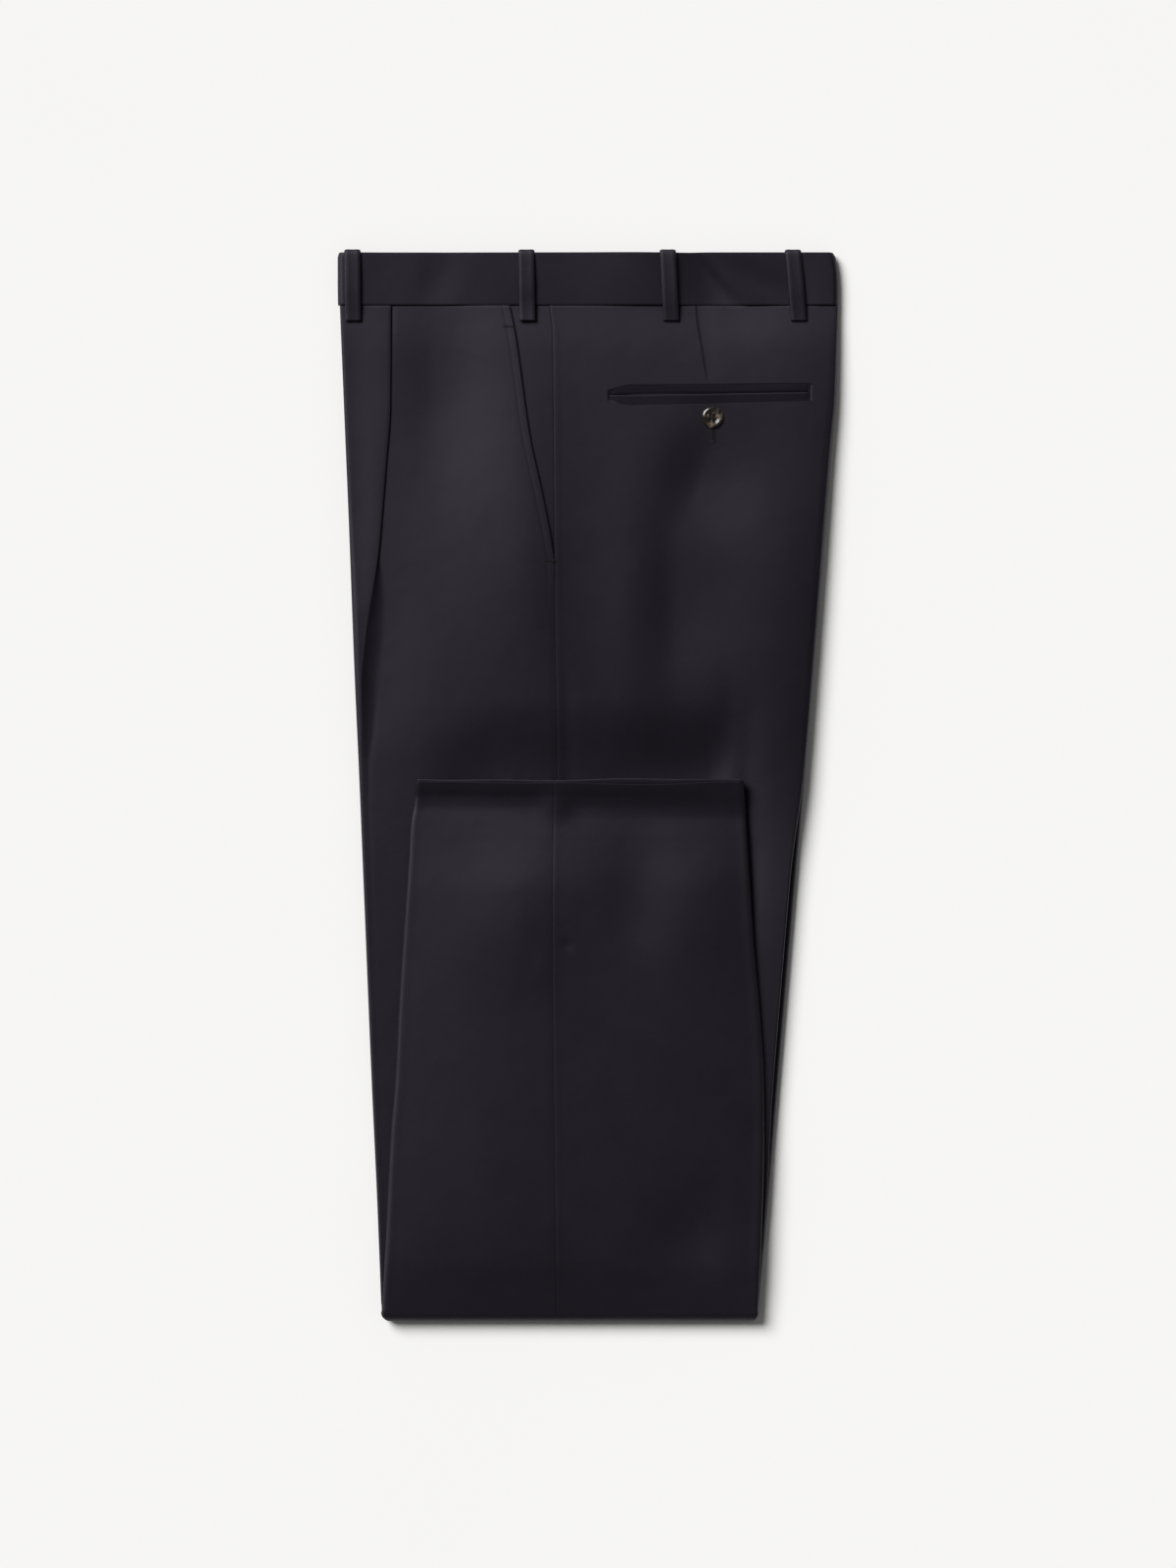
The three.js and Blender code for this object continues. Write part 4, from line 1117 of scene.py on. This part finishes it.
def button(horn):
    """A dished four-hole button with a rounded rim"""
    rings = np.array(
        [0, 0.5, 0.9, 1.2, 1.5, 1.8, 2.1, 2.4, 2.7, 3.0, 3.3, 3.7]
        + [4.2, 4.7, 5.1, 5.5, 5.9, 6.3, 6.7, 7.0, 7.25, 7.42, BUTTON_RADIUS]
    )
    turn = np.linspace(0, 2 * np.pi, 96, endpoint=False)
    r, a = np.meshgrid(rings, turn, indexing="ij")
    x, y = r * np.cos(a), r * np.sin(a)
    height = BUTTON_HEIGHT - 0.85 * (1 - ease(r, 3.9, 5.2)) - 0.15 * ease(r, 5.9, 6.6)
    height = height - 1.2 * (1 - np.sqrt(np.clip(1 - ((r - 6.3) / 1.2).clip(0, 1) ** 2, 0, 1)))
    for side_x, side_y in CORNERS:
        hole = np.hypot(x - side_x * HOLE_OFFSET, y - side_y * HOLE_OFFSET)
        height = height - 1.3 * (1 - ease(hole, 0.55, 1.0))
    points = [np.stack([BUTTON_X + x, BUTTON_Y + y, BUTTON_SEAT + height], -1).reshape(-1, 3)]
    underside = [(BUTTON_RADIUS, 1.2), (7.3, 0.7), (6.6, 0.25), (5.4, 0.0)]
    for radius, level in underside:
        ring_x, ring_y = BUTTON_X + radius * np.cos(turn), BUTTON_Y + radius * np.sin(turn)
        points.append(np.stack([ring_x, ring_y, BUTTON_SEAT + level + 0 * turn], -1))
    faces = ring_faces(len(rings) + len(underside), len(turn), open_start=True)
    piece = piece_from("back_pocket_button_horn", np.concatenate(points), faces, horn)
    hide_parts("back_pocket_button")
    return piece


def button_threads(thread):
    """Two bars of thread through the button's holes"""
    pairs = []
    for side in (-1, 1):
        for shift in (-0.22, 0.22):
            y = BUTTON_Y + side * HOLE_OFFSET + shift
            z = BUTTON_SEAT + BUTTON_HEIGHT - 0.95
            pairs.append(((BUTTON_X - HOLE_OFFSET, y, z), (BUTTON_X + HOLE_OFFSET, y, z)))
    return threads("button_thread", pairs, BUTTON_THREAD_RADIUS, thread)


BUTTONHOLE = {"top": 250.0, "bottom": 237.6, "width": 1.9}


def buttonhole(thread):
    """The stitched hole that the button comes out of; its lower end shows below the button"""
    x, wide = BUTTON_X + 0.5, BUTTONHOLE["width"]
    pairs = []
    for side in (-1, 1):
        for y in np.arange(BUTTONHOLE["bottom"] + 1, BUTTONHOLE["top"], BUTTONHOLE_PITCH):
            inner, outer = x + side * 0.2, x + side * wide
            pairs.append(((inner, y, body_face(inner, y) + 0.05), (outer, y, body_face(outer, y) - 0.08)))
    for degrees in range(180, 361, 20):
        angle = math.radians(degrees)
        centre = BUTTONHOLE["bottom"] + 1.2
        a = (x + 0.3 * math.cos(angle), centre + 0.3 * math.sin(angle))
        b = (x + wide * math.cos(angle), centre + wide * math.sin(angle))
        pairs.append(((*a, body_face(*a) + 0.05), (*b, body_face(*b) - 0.08)))
    return threads("buttonhole_stitches", pairs, BUTTONHOLE_RADIUS, thread)


# The scene

wool = wool_material("worsted_wool", WOOL_SHEEN)
thread, horn = thread_material(), horn_material()
cross_cut = wool_material("worsted_wool_cut_across", CROSS_CUT_SHEEN)
layers = hidden_layers(wool)
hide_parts("hidden_layers")
hems = [hem_leaf(index, wool) for index in range(3)]
lips = [
    welt(0, "back_pocket_lip_upper", "back_pocket_welt_upper", cross_cut),
    welt(1, "back_pocket_lip_lower", "back_pocket_welt_lower", cross_cut),
]
loops = [belt_loop(index, wool) for index in range(4)]
left_front(wool)
left_back(wool)
pocket_facing(wool)
right_panel(-1, 64, "right_front_cloth", "right_front", wool)
right_panel(1, 72, "right_back_cloth", "right_back", wool)
waistband(1, "waistband_left_cloth", "waistband_left", wool)
waistband(-1, "waistband_right_cloth", "waistband_right", wool)

button(horn)
button_threads(thread)
buttonhole(thread)
pick_stitches(thread)
bar_tack("tack_pocket_top", (-59.5, 318.6), (-52.6, 318.0), pocket_surface, thread)
bar_tack("tack_pocket_end", (-31.0, 155.6), (-23.6, 155.2), pocket_surface, thread)
bar_tack("tack_back_pocket_left", (13.4, 266.0), (13.2, 274.6), body_face, thread, 1.3)
bar_tack("tack_back_pocket_right", (152.6, 266.4), (152.8, 278.6), body_face, thread, 1.3)

# Stage


FLOOR_REACH, FLOOR_LEVEL = 6.0, -0.0002  # metres


def add_floor():
    mesh = bpy.data.meshes.new("floor")
    corners = [(x * FLOOR_REACH, y * FLOOR_REACH, FLOOR_LEVEL) for x, y in CORNERS]
    mesh.from_pydata(corners, [], [(0, 1, 2, 3)])
    mesh.materials.append(floor_material())
    floor = bpy.data.objects.new("floor", mesh)
    bpy.context.scene.collection.objects.link(floor)


SUN_STRENGTH, SUN_SOFTNESS, ROOM_STRENGTH = 4.0, math.radians(34), 0.13
SUN_ELEVATION, SUN_AZIMUTH = math.radians(44), math.radians(135)


def add_lights():
    """A soft sun from the upper left, and a pale room"""
    sun = bpy.data.lights.new("key", "SUN")
    sun.energy = SUN_STRENGTH
    sun.angle = SUN_SOFTNESS
    key = bpy.data.objects.new("key", sun)
    level = math.cos(SUN_ELEVATION)
    toward = Vector((math.cos(SUN_AZIMUTH) * level, math.sin(SUN_AZIMUTH) * level, math.sin(SUN_ELEVATION)))
    key.rotation_euler = toward.to_track_quat("Z", "Y").to_euler()
    bpy.context.scene.collection.objects.link(key)
    world = bpy.data.worlds.new("soft_room")
    world.use_nodes = True
    set_inputs(world.node_tree.nodes["Background"], Color=(1, 1, 1, 1), Strength=ROOM_STRENGTH)
    bpy.context.scene.world = world


PIXEL = 0.68 * MM  # size of one pixel of the 1200 x 1600 frame, on the garment
CAMERA_HEIGHT, GARMENT_LEVEL, SENSOR = 3.2, 0.012, 36


def add_camera():
    """Straight above the garment, with the photograph's framing"""
    camera = bpy.data.cameras.new("camera")
    camera.sensor_fit = "VERTICAL"
    camera.sensor_height = SENSOR
    camera.lens = SENSOR * (CAMERA_HEIGHT - GARMENT_LEVEL) / (1600 * PIXEL)
    holder = bpy.data.objects.new("camera", camera)
    holder.location = (-PIXEL, PIXEL, CAMERA_HEIGHT)
    bpy.context.scene.collection.objects.link(holder)
    bpy.context.scene.camera = holder


add_floor()
add_lights()
add_camera()
bpy.context.scene.view_settings.view_transform = "Standard"
bpy.context.view_layer.update()
